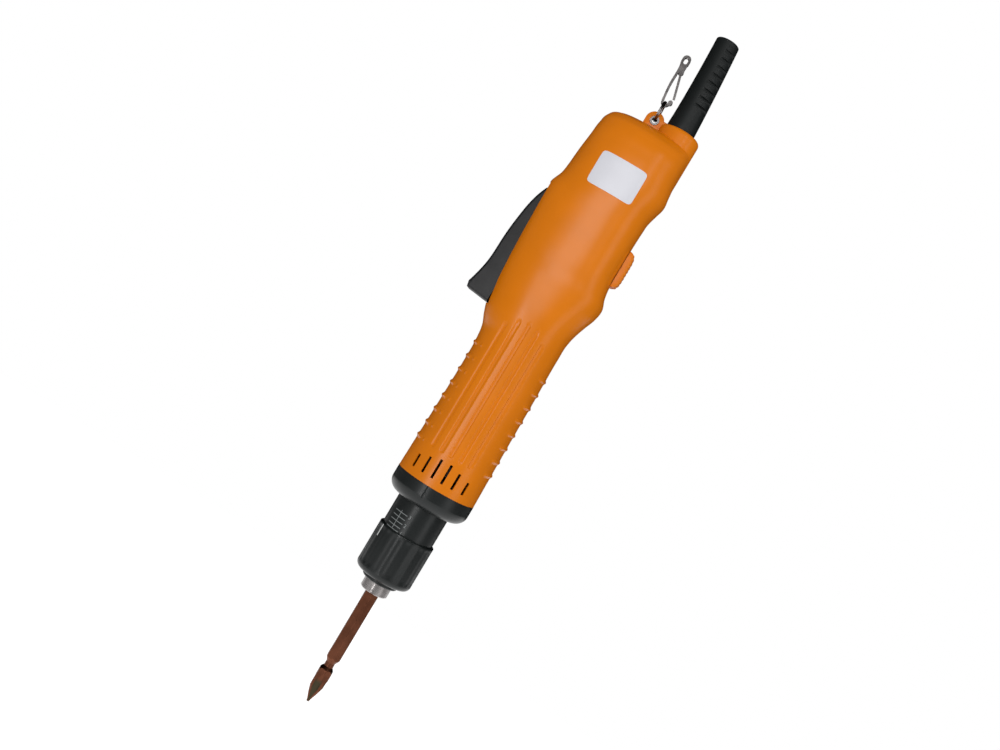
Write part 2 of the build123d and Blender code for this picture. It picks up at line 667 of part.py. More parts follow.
carrier_2_top = gear_floor_z - axial_gap
carrier_2_thickness = 2.8
ball_radius = 1.5
ball_circle = 8.0
ball_z = carrier_2_top - carrier_2_thickness - 1.0
carrier_2_radius = neck_bore_radius - 0.3
stage_2_carrier = disc(carrier_2_radius, carrier_2_top - carrier_2_thickness, carrier_2_top)
spindle_neck_radius = 3.5
stage_2_carrier -= disc(spindle_neck_radius, -220, -190)
clutch_balls = []
cam_top = ball_z - 0.5
cam_bottom = cam_top - 3.2
clutch_cam = tube(carrier_2_radius, spindle_radius, cam_bottom, cam_top)
for number in range(3):
    place = Rot(0, 0, 120 * number) * Pos(planet_place, 0, 0)
    stage_2_carrier += place * disc(planet_pin_radius, carrier_2_top - 1, stage_2_z + planet_height)
for number in range(6):
    place = Rot(0, 0, 60 * number + 30) * Pos(ball_circle, 0, ball_z)
    clutch_balls.append(place * Sphere(ball_radius))
    stage_2_carrier -= place * Sphere(ball_radius + 0.03)
    clutch_cam -= place * Sphere(ball_radius + 0.03)

# Gearbox cover with the lower shaft bearing
cover_z = gear_top_z
gearbox_cover = tube(neck_cup_radius, bearing_radius, cover_z, cover_z + 1.6)
gearbox_cover += tube(bearing_radius + 1.3, bearing_radius, cover_z, cover_z + bearing_height)
cover_bearing = tube(bearing_radius, shaft_radius + 0.02, cover_z, cover_z + bearing_height)

# Clutch housing, front cap and torque nut
cup_bore = ring_gear_radius
clutch_housing = tube(neck_radius, neck_bore_radius, neck_end_z, gear_floor_z)
cap_bottom_z = seam_z - cap_height
flange_z = cap_bottom_z + cap_floor
clutch_housing += tube(neck_cup_radius, neck_bore_radius, flange_z, gear_top_z)
clutch_housing += tube(neck_flange_radius, neck_bore_radius, flange_z, flange_z + neck_flange_thickness)
clutch_housing -= disc(cup_bore, gear_floor_z, gear_top_z + 1)

spigot_radius = section_between(seam_z + cap_spigot_length)[1] - wall - 0.05
front_cap = disc(cap_radius, cap_bottom_z, seam_z)
front_cap = fillet(front_cap.edges().group_by(Axis.Z)[0], cap_edge_radius)
front_cap += disc(spigot_radius, seam_z, seam_z + cap_spigot_length)
front_cap -= disc(neck_flange_radius + 0.05, flange_z, flange_z + neck_flange_thickness)
front_cap -= disc(neck_cup_radius + 0.3, flange_z, seam_z + cap_spigot_length + 1)
front_cap -= disc(neck_radius + 0.05, cap_bottom_z - 5, seam_z)

nut_floor_z = nut_bottom_z + nut_floor
seat_top_z = -228.4
seat_bottom_z = -230.2
nut = turned([
    (nut_hole_radius, nut_boss_end_z),
    (nut_boss_radius, nut_boss_end_z),
    (nut_boss_radius + 0.5, nut_boss_end_z + 0.5),
    (nut_boss_radius + 0.5, nut_bottom_z - 1.6),
    (nut_radius - 1.6, nut_bottom_z),
    (nut_radius, nut_bottom_z + 1.2),
    (nut_radius, nut_top_z - 0.4),
    (nut_radius - 0.4, nut_top_z),
    (nut_skirt_bore_radius, nut_top_z),
    (nut_skirt_bore_radius, nut_floor_z),
    (nut_push_radius, nut_floor_z),
    (nut_push_radius, seat_bottom_z - 0.02),
    (nut_hole_radius, seat_bottom_z - 0.02),
])
for k in range(nut_flutes):
    flute = Rot(0, 0, 360 * k / nut_flutes) * Pos(nut_radius + 0.75 - nut_flute_depth, 0, nut_bottom_z + 2.2)
    nut -= flute * Cylinder(0.75, nut_top_z - nut_bottom_z - 4.4, align=(Align.CENTER, Align.CENTER, Align.MIN))
spring_seat = tube(neck_bore_radius - 0.1, nut_hole_radius, seat_bottom_z, seat_top_z)

washer_top = cam_bottom - running_fit
washer_bottom = washer_top - 0.8
thrust_washer = tube(neck_bore_radius - 0.1, spindle_radius + running_fit, washer_bottom, washer_top)
clutch_wire = 0.8
clutch_spring_radius = neck_bore_radius - clutch_wire - 0.5
coil_height = washer_bottom - seat_top_z
coils = 4.5


clutch_spring = coil(clutch_spring_radius, clutch_wire, seat_top_z, washer_bottom, coils)

# Output spindle with hex socket, lock ball, snap rings, sleeve and bit
socket_top_z = bit_tip_z + bit_length + 0.2
hex_socket = RegularPolygon((bit_flats + bit_flats_clearance) / 2, 6, major_radius=False)
spindle = disc(spindle_radius, spindle_end_z, carrier_2_top - carrier_2_thickness)
spindle += disc(spindle_neck_radius, carrier_2_top - carrier_2_thickness, carrier_2_top)
spindle -= Pos(0, 0, spindle_end_z - 1) * extrude(hex_socket, amount=socket_top_z - spindle_end_z + 1)
ring_groove_radius = spindle_radius - 0.3
lock_ball_z = bit_tip_z + bit_length - (bit_neck_z - bit_tip_z)
sleeve_shoulder_z = lock_ball_z - lock_ball_radius - 0.25
top_ring_z = -231.0
low_ring_z = sleeve_shoulder_z - 1.0
for z in (top_ring_z, low_ring_z):
    spindle -= tube(spindle_radius + 1, ring_groove_radius, z, z + 0.7)
lock_ball_radial = spindle_radius - lock_ball_radius - 0.02
spindle -= Pos(0, lock_ball_radial + 3, lock_ball_z) * Rot(90, 0, 0) * Cylinder(lock_ball_radius + 0.03, 6)
spindle -= Pos(0, lock_ball_radial, lock_ball_z) * Sphere(lock_ball_radius + 0.03)
lock_ball = Pos(0, lock_ball_radial, lock_ball_z) * Sphere(lock_ball_radius)
spindle_rings = [
    tube(6.4, ring_groove_radius, top_ring_z, top_ring_z + 0.7),
    tube(sleeve_recess_radius - 0.1, ring_groove_radius, low_ring_z, low_ring_z + 0.7),
]
sleeve = tube(sleeve_radius, spindle_radius + 0.05, sleeve_end_z, sleeve_top_z)
sleeve -= disc(sleeve_recess_radius, sleeve_end_z - 1, sleeve_shoulder_z)
sleeve = chamfer(sleeve.edges().filter_by(GeomType.CIRCLE).group_by(Axis.Z)[0].group_by(SortBy.RADIUS)[-1], 0.5)
sleeve_wire = 0.25
sleeve_spring = coil(spindle_radius + 0.75, sleeve_wire, sleeve_top_z, top_ring_z, 3.5)

bit_hex = RegularPolygon(bit_flats / 2, 6, major_radius=False)
bit_top_z = bit_tip_z + bit_length
taper_z = bit_tip_z + bit_taper_length
bit_corner = bit_flats / 2 / math.cos(math.pi / 6)
bit = Pos(0, 0, bit_tip_z) * extrude(bit_hex, amount=bit_length)


def bit_end(tip, inner, sign):
    """A turned envelope that gives one end of the bit its cone."""
    return turned([
        (0, tip),
        (bit_tip_radius * 0.45, tip),
        (bit_tip_radius, tip + sign * 0.7),
        (bit_corner * 0.86, inner - sign * 0.6),
        (bit_corner + 0.1, inner + sign * 1.4),
        (0, inner + sign * 1.4),
    ])


envelope = disc(bit_corner + 0.1, taper_z + 1.4, bit_top_z - bit_taper_length - 1.4)
envelope += bit_end(bit_tip_z, taper_z, 1) + bit_end(bit_top_z, bit_top_z - bit_taper_length, -1)
bit = bit & envelope
for z in (bit_neck_z, bit_tip_z + bit_top_z - bit_neck_z):
    shape = turned([
        (bit_neck_radius, z - bit_neck_length / 2 + 1.0),
        (bit_corner + 1, z - bit_neck_length / 2 - 1.0),
        (bit_corner + 1, z + bit_neck_length / 2 + 1.0),
        (bit_neck_radius, z + bit_neck_length / 2 - 1.0),
    ])
    bit -= shape
for tip, sign in ((bit_tip_z, 1), (bit_top_z, -1)):
    for k in range(4):
        flute = Pos(0, 0, tip) * Rot(0, 0, 45 + 90 * k) * Rot(0, -sign * 12, 0) * Pos(2.0, 0, 0)
        bit -= flute * Rot(0, 0, 45) * Box(1.8, 1.8, 13)

# Split ring, snap hook and gate
eye_half_length = tab_thickness / 2 + eyelet_flange_thickness
ring_rise = ring_mean_radius - math.sqrt(ring_mean_radius ** 2 - eye_half_length ** 2)
ring_reach = eye_bore_radius - ring_wire_radius - hook_clearance
ring_centre_z = math.sqrt(ring_reach ** 2 - ring_wire_radius ** 2) - ring_rise + ring_mean_radius
ring_profile = Pos(ring_mean_radius, -ring_wire_step) * Circle(ring_wire_radius)
ring_profile += Pos(ring_mean_radius, ring_wire_step) * Circle(ring_wire_radius)
split_ring = revolve(Plane.XZ * ring_profile, axis=Axis.Z)
split_ring = Pos(0, 0, ring_centre_z) * Rot(0, 90, 0) * split_ring

hook_seat_z = ring_centre_z + ring_mean_radius
hook_arc = []
for degrees in (-25, -65, -115, -155):
    angle = math.radians(degrees)
    hook_arc.append((hook_seat_radius * math.cos(angle), hook_seat_z + hook_seat_radius * math.sin(angle)))
hook_path = Spline(
    (knob_ball_x, knob_ball_z), *hook_arc, (-1.75, 11.2), (-2.15, 14.5), (-2.5, 20.0), (-2.45, 25.0),
    (bulb_x - bulb_radius, bulb_z - bulb_stretch / 2),
)
hook_face = trace(hook_path, hook_strip)
bulb_outer = SlotCenterToCenter(bulb_stretch, 2 * bulb_radius + hook_strip)
bulb_inner = SlotCenterToCenter(bulb_stretch, 2 * bulb_radius - hook_strip)
hook_face += Pos(bulb_x, bulb_z) * Rot(0, 0, 90) * (bulb_outer - bulb_inner)
hook_face += Pos(knob_ball_x, knob_ball_z) * Circle(knob_ball_radius)
hook_frame = plate_xz(hook_face, -hook_thickness / 2, hook_thickness / 2)
cheek = rod_y(1.3, -hook_thickness / 2, hook_thickness / 2, gate_pivot_x, gate_pivot_z)
cheek += block(-2.6, gate_pivot_x, -hook_thickness / 2, hook_thickness / 2, gate_pivot_z - 1.0, gate_pivot_z + 1.3)
hook_frame += cheek + block(
    bulb_x - 0.8, gate_pivot_x + 1.0, -hook_thickness / 2, hook_thickness / 2,
    gate_pivot_z, bulb_z - bulb_stretch / 2 - bulb_radius,
)
gate_slot = 1.2
hook_frame -= rod_y(1.9, -gate_slot / 2, gate_slot / 2, gate_pivot_x + 0.3, gate_pivot_z)
hook_frame += rod_y(0.4, -hook_thickness / 2, hook_thickness / 2, gate_pivot_x, gate_pivot_z)
gate_line = Line((gate_pivot_x, gate_pivot_z), (gate_end_x, gate_end_z))
gate_face = trace(gate_line, hook_strip) + Pos(gate_pivot_x, gate_pivot_z) * Circle(1.0)
gate_face -= Pos(gate_pivot_x, gate_pivot_z) * Circle(0.4 + running_fit)
hook_gate = plate_xz(gate_face, -gate_slot / 2 + 0.1, gate_slot / 2 - 0.1)

parts = {
    "front_shell": front_shell,
    "rear_shell": rear_shell,
    "shell_screws": Compound(screws),
    "rating_label": label,
    "hanging_eyelet": eyelet,
    "cord_boot": boot,
    "cord_clamp": cord_clamp,
    "clamp_screws": Compound(clamp_screws),
    "start_lever": lever,
    "lever_pin": lever_pin,
    "lever_spring": lever_spring,
    "start_switch": start_switch,
    "switch_plunger": plunger,
    "reversing_switch": reversing_switch,
    "reversing_knob": knob,
    "circuit_board": board,
    "board_parts": Compound(board_parts),
    "motor_can": motor_can,
    "magnets": magnets,
    "motor_end_cap": motor_end_cap,
    "brushes": Compound(brushes),
    "motor_bearings": Compound(motor_bearings),
    "motor_shaft": motor_shaft,
    "rotor_core": rotor_core,
    "windings": windings,
    "commutator": commutator,
    "cooling_fan": fan,
    "sun_pinion": sun_pinion,
    "ring_gear": ring_gear,
    "stage_1_carrier": stage_1_carrier,
    "stage_2_carrier": stage_2_carrier,
    "gearbox_cover": gearbox_cover,
    "cover_bearing": cover_bearing,
    "clutch_housing": clutch_housing,
    "front_cap": front_cap,
    "torque_nut": nut,
    "spring_seat": spring_seat,
    "clutch_spring": clutch_spring,
    "thrust_washer": thrust_washer,
    "clutch_balls": Compound(clutch_balls),
    "clutch_cam": clutch_cam,
    "output_spindle": spindle,
    "spindle_rings": Compound(spindle_rings),
    "lock_ball": lock_ball,
    "bit_sleeve": sleeve,
    "sleeve_spring": sleeve_spring,
    "screwdriver_bit": bit,
    "split_ring": split_ring,
    "hook_frame": hook_frame,
    "hook_gate": hook_gate,
}
for stage, gears in planets.items():
    for number, planet in enumerate(gears):
        parts[f"stage_{stage}_planet_{'abc'[number]}"] = planet
for name, part in parts.items():
    save(part, name)
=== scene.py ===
import math
import bmesh
import bpy
import numpy as np
from mathutils import Matrix, Vector


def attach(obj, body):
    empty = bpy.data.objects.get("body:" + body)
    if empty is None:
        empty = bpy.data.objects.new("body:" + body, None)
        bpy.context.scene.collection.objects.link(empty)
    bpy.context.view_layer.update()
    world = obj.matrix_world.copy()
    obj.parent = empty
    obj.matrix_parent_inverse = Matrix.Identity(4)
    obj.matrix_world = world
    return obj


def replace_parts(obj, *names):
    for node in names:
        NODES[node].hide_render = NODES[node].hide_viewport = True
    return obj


bl_info = {
    "name": "Torque screwdriver looks",
    "version": (1, 0, 0),
    "blender": (4, 5, 0),
    "location": "3D View > Sidebar > Torque screwdriver",
    "description": "Finishes, printed scale and studio for the electric torque screwdriver",
    "category": "Object",
}

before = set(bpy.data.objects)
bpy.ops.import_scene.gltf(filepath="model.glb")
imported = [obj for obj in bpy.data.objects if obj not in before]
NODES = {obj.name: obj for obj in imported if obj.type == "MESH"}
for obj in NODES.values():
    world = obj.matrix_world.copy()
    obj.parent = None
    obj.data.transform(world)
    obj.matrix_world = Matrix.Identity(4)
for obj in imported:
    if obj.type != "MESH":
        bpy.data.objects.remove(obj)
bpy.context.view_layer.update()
MM = 0.001


# Small helpers

def linear(red, green, blue):
    """The linear colour of a displayed one given as 0 to 255."""
    shown = np.array([red, green, blue], float) / 255
    return tuple(np.where(shown < 0.04045, shown / 12.92, ((shown + 0.055) / 1.055) ** 2.4)) + (1.0,)


def crisp(obj, angle=30.0):
    """Keeps a piece's edges sharper than the angle."""
    split = obj.modifiers.new("keep_edges", "EDGE_SPLIT")
    split.split_angle = math.radians(angle)
    split.use_edge_sharp = False
    return obj


def smooth_node(obj, angle=32.0):
    """Joins a CAD node's loose triangles for shading only and keeps its sharper edges."""
    obj.data.polygons.foreach_set("use_smooth", np.ones(len(obj.data.polygons), bool))
    weld = obj.modifiers.new("join_facets", "WELD")
    weld.merge_threshold = 2e-6
    crisp(obj, angle)


def dress(names, material):
    """Gives each CAD node one finish."""
    for name in names:
        obj = NODES[name]
        smooth_node(obj)
        obj.data.materials.clear()
        obj.data.materials.append(material)


def grid_mesh(name, points, closed_u=False, closed_v=False):
    """A mesh over a grid of points of shape (rows, columns, 3), joined round where it is closed."""
    rows, columns = points.shape[:2]
    index = np.arange(rows * columns).reshape(rows, columns)
    if closed_u:
        index = np.concatenate([index, index[:1]])
    if closed_v:
        index = np.concatenate([index, index[:, :1]], axis=1)
    quads = np.stack([index[:-1, :-1], index[1:, :-1], index[1:, 1:], index[:-1, 1:]], axis=-1).reshape(-1, 4)
    mesh = bpy.data.meshes.new(name)
    mesh.from_pydata(points.reshape(-1, 3).tolist(), [], quads.tolist())
    mesh.polygons.foreach_set("use_smooth", np.ones(len(mesh.polygons), bool))
    mesh.update()
    return mesh


def place(name, mesh, material, body):
    """A new piece from a mesh whose points are already in the row frame."""
    obj = bpy.data.objects.new(name, mesh)
    bpy.context.scene.collection.objects.link(obj)
    mesh.materials.append(material)
    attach(obj, body)
    return obj


def wrapped_bar(name, radius, angle0, angle1, z0, z1, lift, across=8, along=2):
    """A thin printed bar on a cylinder: x = r sin(a), y = -r cos(a), with a over its width and z over its height."""
    angles = np.linspace(math.radians(angle0), math.radians(angle1), across)
    heights = np.linspace(z0, z1, along)
    a, z = np.meshgrid(angles, heights)
    r = (radius + lift) * MM
    return grid_mesh(name, np.stack([r * np.sin(a), -r * np.cos(a), z * MM], axis=-1))


def corner(radius_at, height_at, radius, start, end, steps=7):
    """Points of a rounded corner, (r + R cos a, z + R sin a) for a between two angles in degrees."""
    a = np.radians(np.linspace(start, end, steps))
    return [(radius_at + radius * c, height_at + radius * h) for c, h in zip(np.cos(a), np.sin(a))]


def turned_mesh(name, profile, columns=192, relief=None, centre=None):
    """A profile of (r, z) turned about Z: x = c(z) + r sin(a), y = -r cos(a), with r lowered by relief(a, z, r)."""
    rows = np.array(profile, float)
    a = np.linspace(0, 2 * math.pi, columns, endpoint=False)
    a, z = np.meshgrid(a, rows[:, 1])
    r = np.repeat(rows[:, :1], columns, axis=1)
    if relief:
        r = r - relief(a, z, r)
    shift = centre(z) if centre else 0.0
    points = np.stack([shift + r * np.sin(a), -r * np.cos(a), z], axis=-1) * MM
    return grid_mesh(name, points, closed_v=True)


# The housing's outline: height, reach to the lever side, reach to the switch side, half depth, roundness
SECTIONS = np.array([
    (-192.9, 19.55, 19.55, 19.55, 2.0), (-180.0, 19.25, 19.25, 19.25, 2.0), (-166.0, 18.95, 18.95, 18.95, 2.0),
    (-152.0, 18.7, 18.7, 18.7, 2.0), (-138.0, 18.6, 18.5, 18.5, 2.0), (-125.5, 18.9, 18.2, 18.5, 2.0),
    (-119.0, 19.9, 18.1, 18.5, 2.0), (-114.5, 21.8, 18.1, 18.6, 2.05), (-109.5, 23.5, 18.1, 18.7, 2.1),
    (-103.5, 24.3, 19.1, 18.9, 2.15), (-97.5, 25.1, 21.0, 19.0, 2.2), (-91.5, 25.4, 23.2, 19.1, 2.25),
    (-86.2, 25.7, 23.9, 19.2, 2.3), (-81.5, 25.8, 22.3, 19.2, 2.35), (-76.0, 26.0, 21.4, 19.3, 2.4),
    (-65.0, 26.3, 21.3, 19.4, 2.4), (-54.0, 26.5, 21.2, 19.6, 2.4), (-47.2, 26.3, 21.4, 19.8, 2.4),
    (-42.0, 24.2, 21.7, 19.9, 2.45), (-36.5, 23.4, 23.1, 20.0, 2.45), (-32.3, 23.1, 24.2, 20.0, 2.45),
    (-27.5, 22.7, 23.7, 20.0, 2.45), (-20.5, 21.9, 23.05, 19.6, 2.45), (-13.5, 21.2, 22.9, 18.4, 2.45),
    (-8.9, 20.0, 22.8, 15.8, 2.4), (-5.6, 17.0, 22.4, 10.4, 2.3), (-4.2, 13.4, 21.6, 5.4, 2.2),
    (-3.7, 11.5, 20.5, 0.6, 2.2),
])

# Openings in the housing, in mm
LEVER_HALF, LEVER_Z = 7.4, (-109.9, -47.8)
KNOB_HALF, KNOB_Z = 2.5, (-73.0, -59.4)
VENT_HALF, VENT_FOOT, VENT_TOPS = 0.6, -189.1, (-183.0, -181.3, -179.7, -179.7, -181.3, -183.0)
VENT_MIDDLES = [5.03 * (k - 2.5) for k in range(6)]
SCREW_HOLES, SCREW_HOLE_RADIUS = ((-15.6, -16.0), (17.3, -39.5), (14.6, -104.0), (-15.8, -115.0)), 2.5


def section_at(z):
    """Reach to the lever side, to the switch side, half depth and roundness: cubic curves through SECTIONS."""
    places, values = SECTIONS[:, 0], SECTIONS[:, 1:]
    slopes = np.gradient(values, places, axis=0)
    k = np.clip(np.searchsorted(places, z) - 1, 0, len(places) - 2)
    gap = (places[k + 1] - places[k])[:, None]
    u = (z[:, None] - places[k][:, None]) / gap
    start = values[k] * (2 * u ** 3 - 3 * u ** 2 + 1) + slopes[k] * gap * (u ** 3 - 2 * u ** 2 + u)
    end = values[k + 1] * (3 * u ** 2 - 2 * u ** 3) + slopes[k + 1] * gap * (u ** 3 - u ** 2)
    return (start + end).T


def turn_from(a, middle):
    """How far an angle lies from another one, both in radians, between -pi and pi."""
    return np.mod(a - middle + math.pi, 2 * math.pi) - math.pi


# Shader node groups that several finishes share

def new_group(name, inputs, outputs):
    group = bpy.data.node_groups.new(name, "ShaderNodeTree")
    for label, kind, value in inputs:
        socket = group.interface.new_socket(name=label, in_out="INPUT", socket_type=kind)
        socket.default_value = value
    for label, kind in outputs:
        group.interface.new_socket(name=label, in_out="OUTPUT", socket_type=kind)
    return group, group.nodes.new("NodeGroupInput"), group.nodes.new("NodeGroupOutput")


def add(tree, kind, **values):
    node = tree.nodes.new(kind)
    for key, value in values.items():
        setattr(node, key, value)
    return node


def math_node(tree, operation, a, b=None, clamp=False):
    node = add(tree, "ShaderNodeMath", operation=operation, use_clamp=clamp)
    for socket, value in zip(node.inputs, (a, b)):
        if value is None:
            continue
        if isinstance(value, (int, float)):
            socket.default_value = value
        else:
            tree.links.new(value, socket)
    return node.outputs[0]


def build_grain_group():
    """Spark-eroded grain of a moulding: fine noise for height, broad noise for tone."""
    group, source, sink = new_group(
        "moulded_grain",
        [("Grain per metre", "NodeSocketFloat", 2600.0), ("Mottle per metre", "NodeSocketFloat", 60.0)],
        [("Height", "NodeSocketFloat"), ("Tone", "NodeSocketFloat"), ("Smudge", "NodeSocketFloat")],
    )
    where = add(group, "ShaderNodeTexCoord")
    fine = add(group, "ShaderNodeTexNoise")
    fine.inputs["Detail"].default_value = 3.0
    fine.inputs["Roughness"].default_value = 0.6
    broad = add(group, "ShaderNodeTexNoise")
    broad.inputs["Detail"].default_value = 4.0
    smudge = add(group, "ShaderNodeTexNoise")
    smudge.inputs["Scale"].default_value = 22.0
    smudge.inputs["Detail"].default_value = 6.0
    smudge.inputs["Roughness"].default_value = 0.7
    for node in (fine, broad, smudge):
        group.links.new(where.outputs["Object"], node.inputs["Vector"])
    group.links.new(source.outputs["Grain per metre"], fine.inputs["Scale"])
    group.links.new(source.outputs["Mottle per metre"], broad.inputs["Scale"])
    group.links.new(fine.outputs["Fac"], sink.inputs["Height"])
    group.links.new(broad.outputs["Fac"], sink.inputs["Tone"])
    group.links.new(smudge.outputs["Fac"], sink.inputs["Smudge"])
    return group


def build_turned_group():
    """Fine rings that a lathe leaves, across the tool's long axis, with a little unevenness."""
    group, source, sink = new_group(
        "turned_rings",
        [("Rings per metre", "NodeSocketFloat", 1500.0)],
        [("Height", "NodeSocketFloat"), ("Tone", "NodeSocketFloat")],
    )
    where = add(group, "ShaderNodeTexCoord")
    flat = add(group, "ShaderNodeMapping")
    flat.inputs["Scale"].default_value = (0.02, 0.02, 1.0)
    rings = add(group, "ShaderNodeTexNoise")
    rings.inputs["Detail"].default_value = 3.0
    tone = add(group, "ShaderNodeTexNoise")
    tone.inputs["Scale"].default_value = 180.0
    tone.inputs["Detail"].default_value = 5.0
    group.links.new(where.outputs["Object"], flat.inputs["Vector"])
    group.links.new(flat.outputs["Vector"], rings.inputs["Vector"])
    group.links.new(where.outputs["Object"], tone.inputs["Vector"])
    group.links.new(source.outputs["Rings per metre"], rings.inputs["Scale"])
    group.links.new(rings.outputs["Fac"], sink.inputs["Height"])
    group.links.new(tone.outputs["Fac"], sink.inputs["Tone"])
    return group


GROUPS = {}
BUMP_DEPTH = 0.0001


def shared(name):
    if not GROUPS:
        GROUPS["grain"] = build_grain_group()
        GROUPS["turned"] = build_turned_group()
    return GROUPS[name]


def tone_mix(tree, factor, dark, light):
    """Colour between two, by a noise value stretched about its middle."""
    spread = add(tree, "ShaderNodeMapRange")
    spread.inputs["From Min"].default_value = 0.35
    spread.inputs["From Max"].default_value = 0.65
    tree.links.new(factor, spread.inputs["Value"])
    mix = add(tree, "ShaderNodeMix", data_type="RGBA")
    tree.links.new(spread.outputs[0], mix.inputs["Factor"])
    mix.inputs[6].default_value = dark
    mix.inputs[7].default_value = light
    return mix.outputs[2]


def rough_range(tree, factor, low, high):
    """Roughness between two values, by a noise value stretched about its middle."""
    spread = add(tree, "ShaderNodeMapRange")
    spread.inputs["From Min"].default_value = 0.3
    spread.inputs["From Max"].default_value = 0.7
    spread.inputs["To Min"].default_value = low
    spread.inputs["To Max"].default_value = high
    tree.links.new(factor, spread.inputs["Value"])
    return spread.outputs[0]


def start_material(name):
    material = bpy.data.materials.new(name)
    material.use_nodes = True
    return material, material.node_tree, material.node_tree.nodes["Principled BSDF"]


def shade(colour, share):
    return tuple(channel * share for channel in colour[:3]) + (1.0,)


def finish(name, shared_name, scale_input, scale, gloss_output, colour, low, high, bump, contrast):
    """A finish from a shared group: its tone in the colour, its gloss output in the roughness, its height as bump."""
    material, tree, shader = start_material(name)
    group = add(tree, "ShaderNodeGroup")
    group.node_tree = shared(shared_name)
    group.inputs[scale_input].default_value = scale
    colour_out = tone_mix(tree, group.outputs["Tone"], shade(colour, 1 - contrast), shade(colour, 1 + contrast))
    tree.links.new(colour_out, shader.inputs["Base Color"])
    tree.links.new(rough_range(tree, group.outputs[gloss_output], low, high), shader.inputs["Roughness"])
    relief = add(tree, "ShaderNodeBump")
    relief.inputs["Strength"].default_value = bump
    relief.inputs["Distance"].default_value = BUMP_DEPTH
    tree.links.new(group.outputs["Height"], relief.inputs["Height"])
    tree.links.new(relief.outputs["Normal"], shader.inputs["Normal"])
    return material, shader


def moulded(name, colour, low=0.34, high=0.46, grain=2600.0, bump=0.05, contrast=0.06, specular=0.5):
    """Moulded plastic or rubber: grain in the bump, broad tone in the colour, smudges in the gloss."""
    material, shader = finish(
        name, "grain", "Grain per metre", grain, "Smudge", tuple(colour), low, high, bump, contrast)
    shader.inputs["Specular IOR Level"].default_value = specular
    return material


def metal(name, colour, low=0.22, high=0.34, rings=1500.0, bump=0.06, contrast=0.1):
    """Turned or drawn metal: faint rings in the bump, uneven tone in the colour and gloss."""
    material, shader = finish(
        name, "turned", "Rings per metre", rings, "Tone", tuple(colour), low, high, bump, contrast)
    shader.inputs["Metallic"].default_value = 1.0
    return material


# What a user would change

def colour_setting(name, description, value):
    return bpy.props.FloatVectorProperty(
        name=name, description=description, subtype="COLOR", size=4, min=0.0, max=1.0, default=value)


def length_setting(name, description, value):
    return bpy.props.FloatProperty(
        name=name, description=description, default=value, unit="LENGTH", subtype="DISTANCE")


class HousingLooks(bpy.types.PropertyGroup):
    orange: colour_setting("Housing orange", "Colour of the moulded housing", linear(229, 125, 0))
    black: colour_setting("Black mouldings", "Colour of the cap, clutch housing and torque nut", linear(24, 28, 28))
    rubber: colour_setting("Boot rubber", "Colour of the cable boot", linear(24, 28, 28))
    lever: colour_setting("Lever grey", "Colour of the start lever", linear(27, 27, 29))
    label: colour_setting("Label", "Colour of the blank rating label", linear(225, 225, 232))


class MetalLooks(bpy.types.PropertyGroup):
    plated: colour_setting("Plated steel", "Colour of the hook, ring and sleeve", (0.33, 0.31, 0.305, 1.0))
    bit: colour_setting("Bit", "Colour of the bit's heat-treated steel", (0.15, 0.055, 0.03, 1.0))
    tool: colour_setting("Tool steel", "Colour of shafts, gears and screws", (0.36, 0.35, 0.34, 1.0))


class ScaleLooks(bpy.types.PropertyGroup):
    ink: colour_setting("Scale ink", "Colour of the printed scale", linear(138, 142, 142))
    index: colour_setting("Index paint", "Colour of the index line on the nut", linear(228, 230, 228))
    lift: length_setting("Ink thickness", "Height of the print above the plastic", 0.00003)
    line: length_setting("Line width", "Width of the printed lines", 0.0003)


class StageLooks(bpy.types.PropertyGroup):
    lens: bpy.props.FloatProperty(name="Lens", description="Focal length on a 36 mm wide sensor, in mm", default=40.7)
    distance: length_setting("Camera distance", "From the tool's axis", 0.514)
    yaw: bpy.props.FloatProperty(
        name="Camera yaw", description="Turn of the camera round the tool's long axis",
        default=math.radians(3.5), subtype="ANGLE", unit="ROTATION")
    roll: bpy.props.FloatProperty(
        name="Camera roll", description="Lean of the tool in the picture",
        default=math.radians(30.9), subtype="ANGLE", unit="ROTATION")
    height: length_setting("Camera height", "On the tool's long axis", -0.1349)


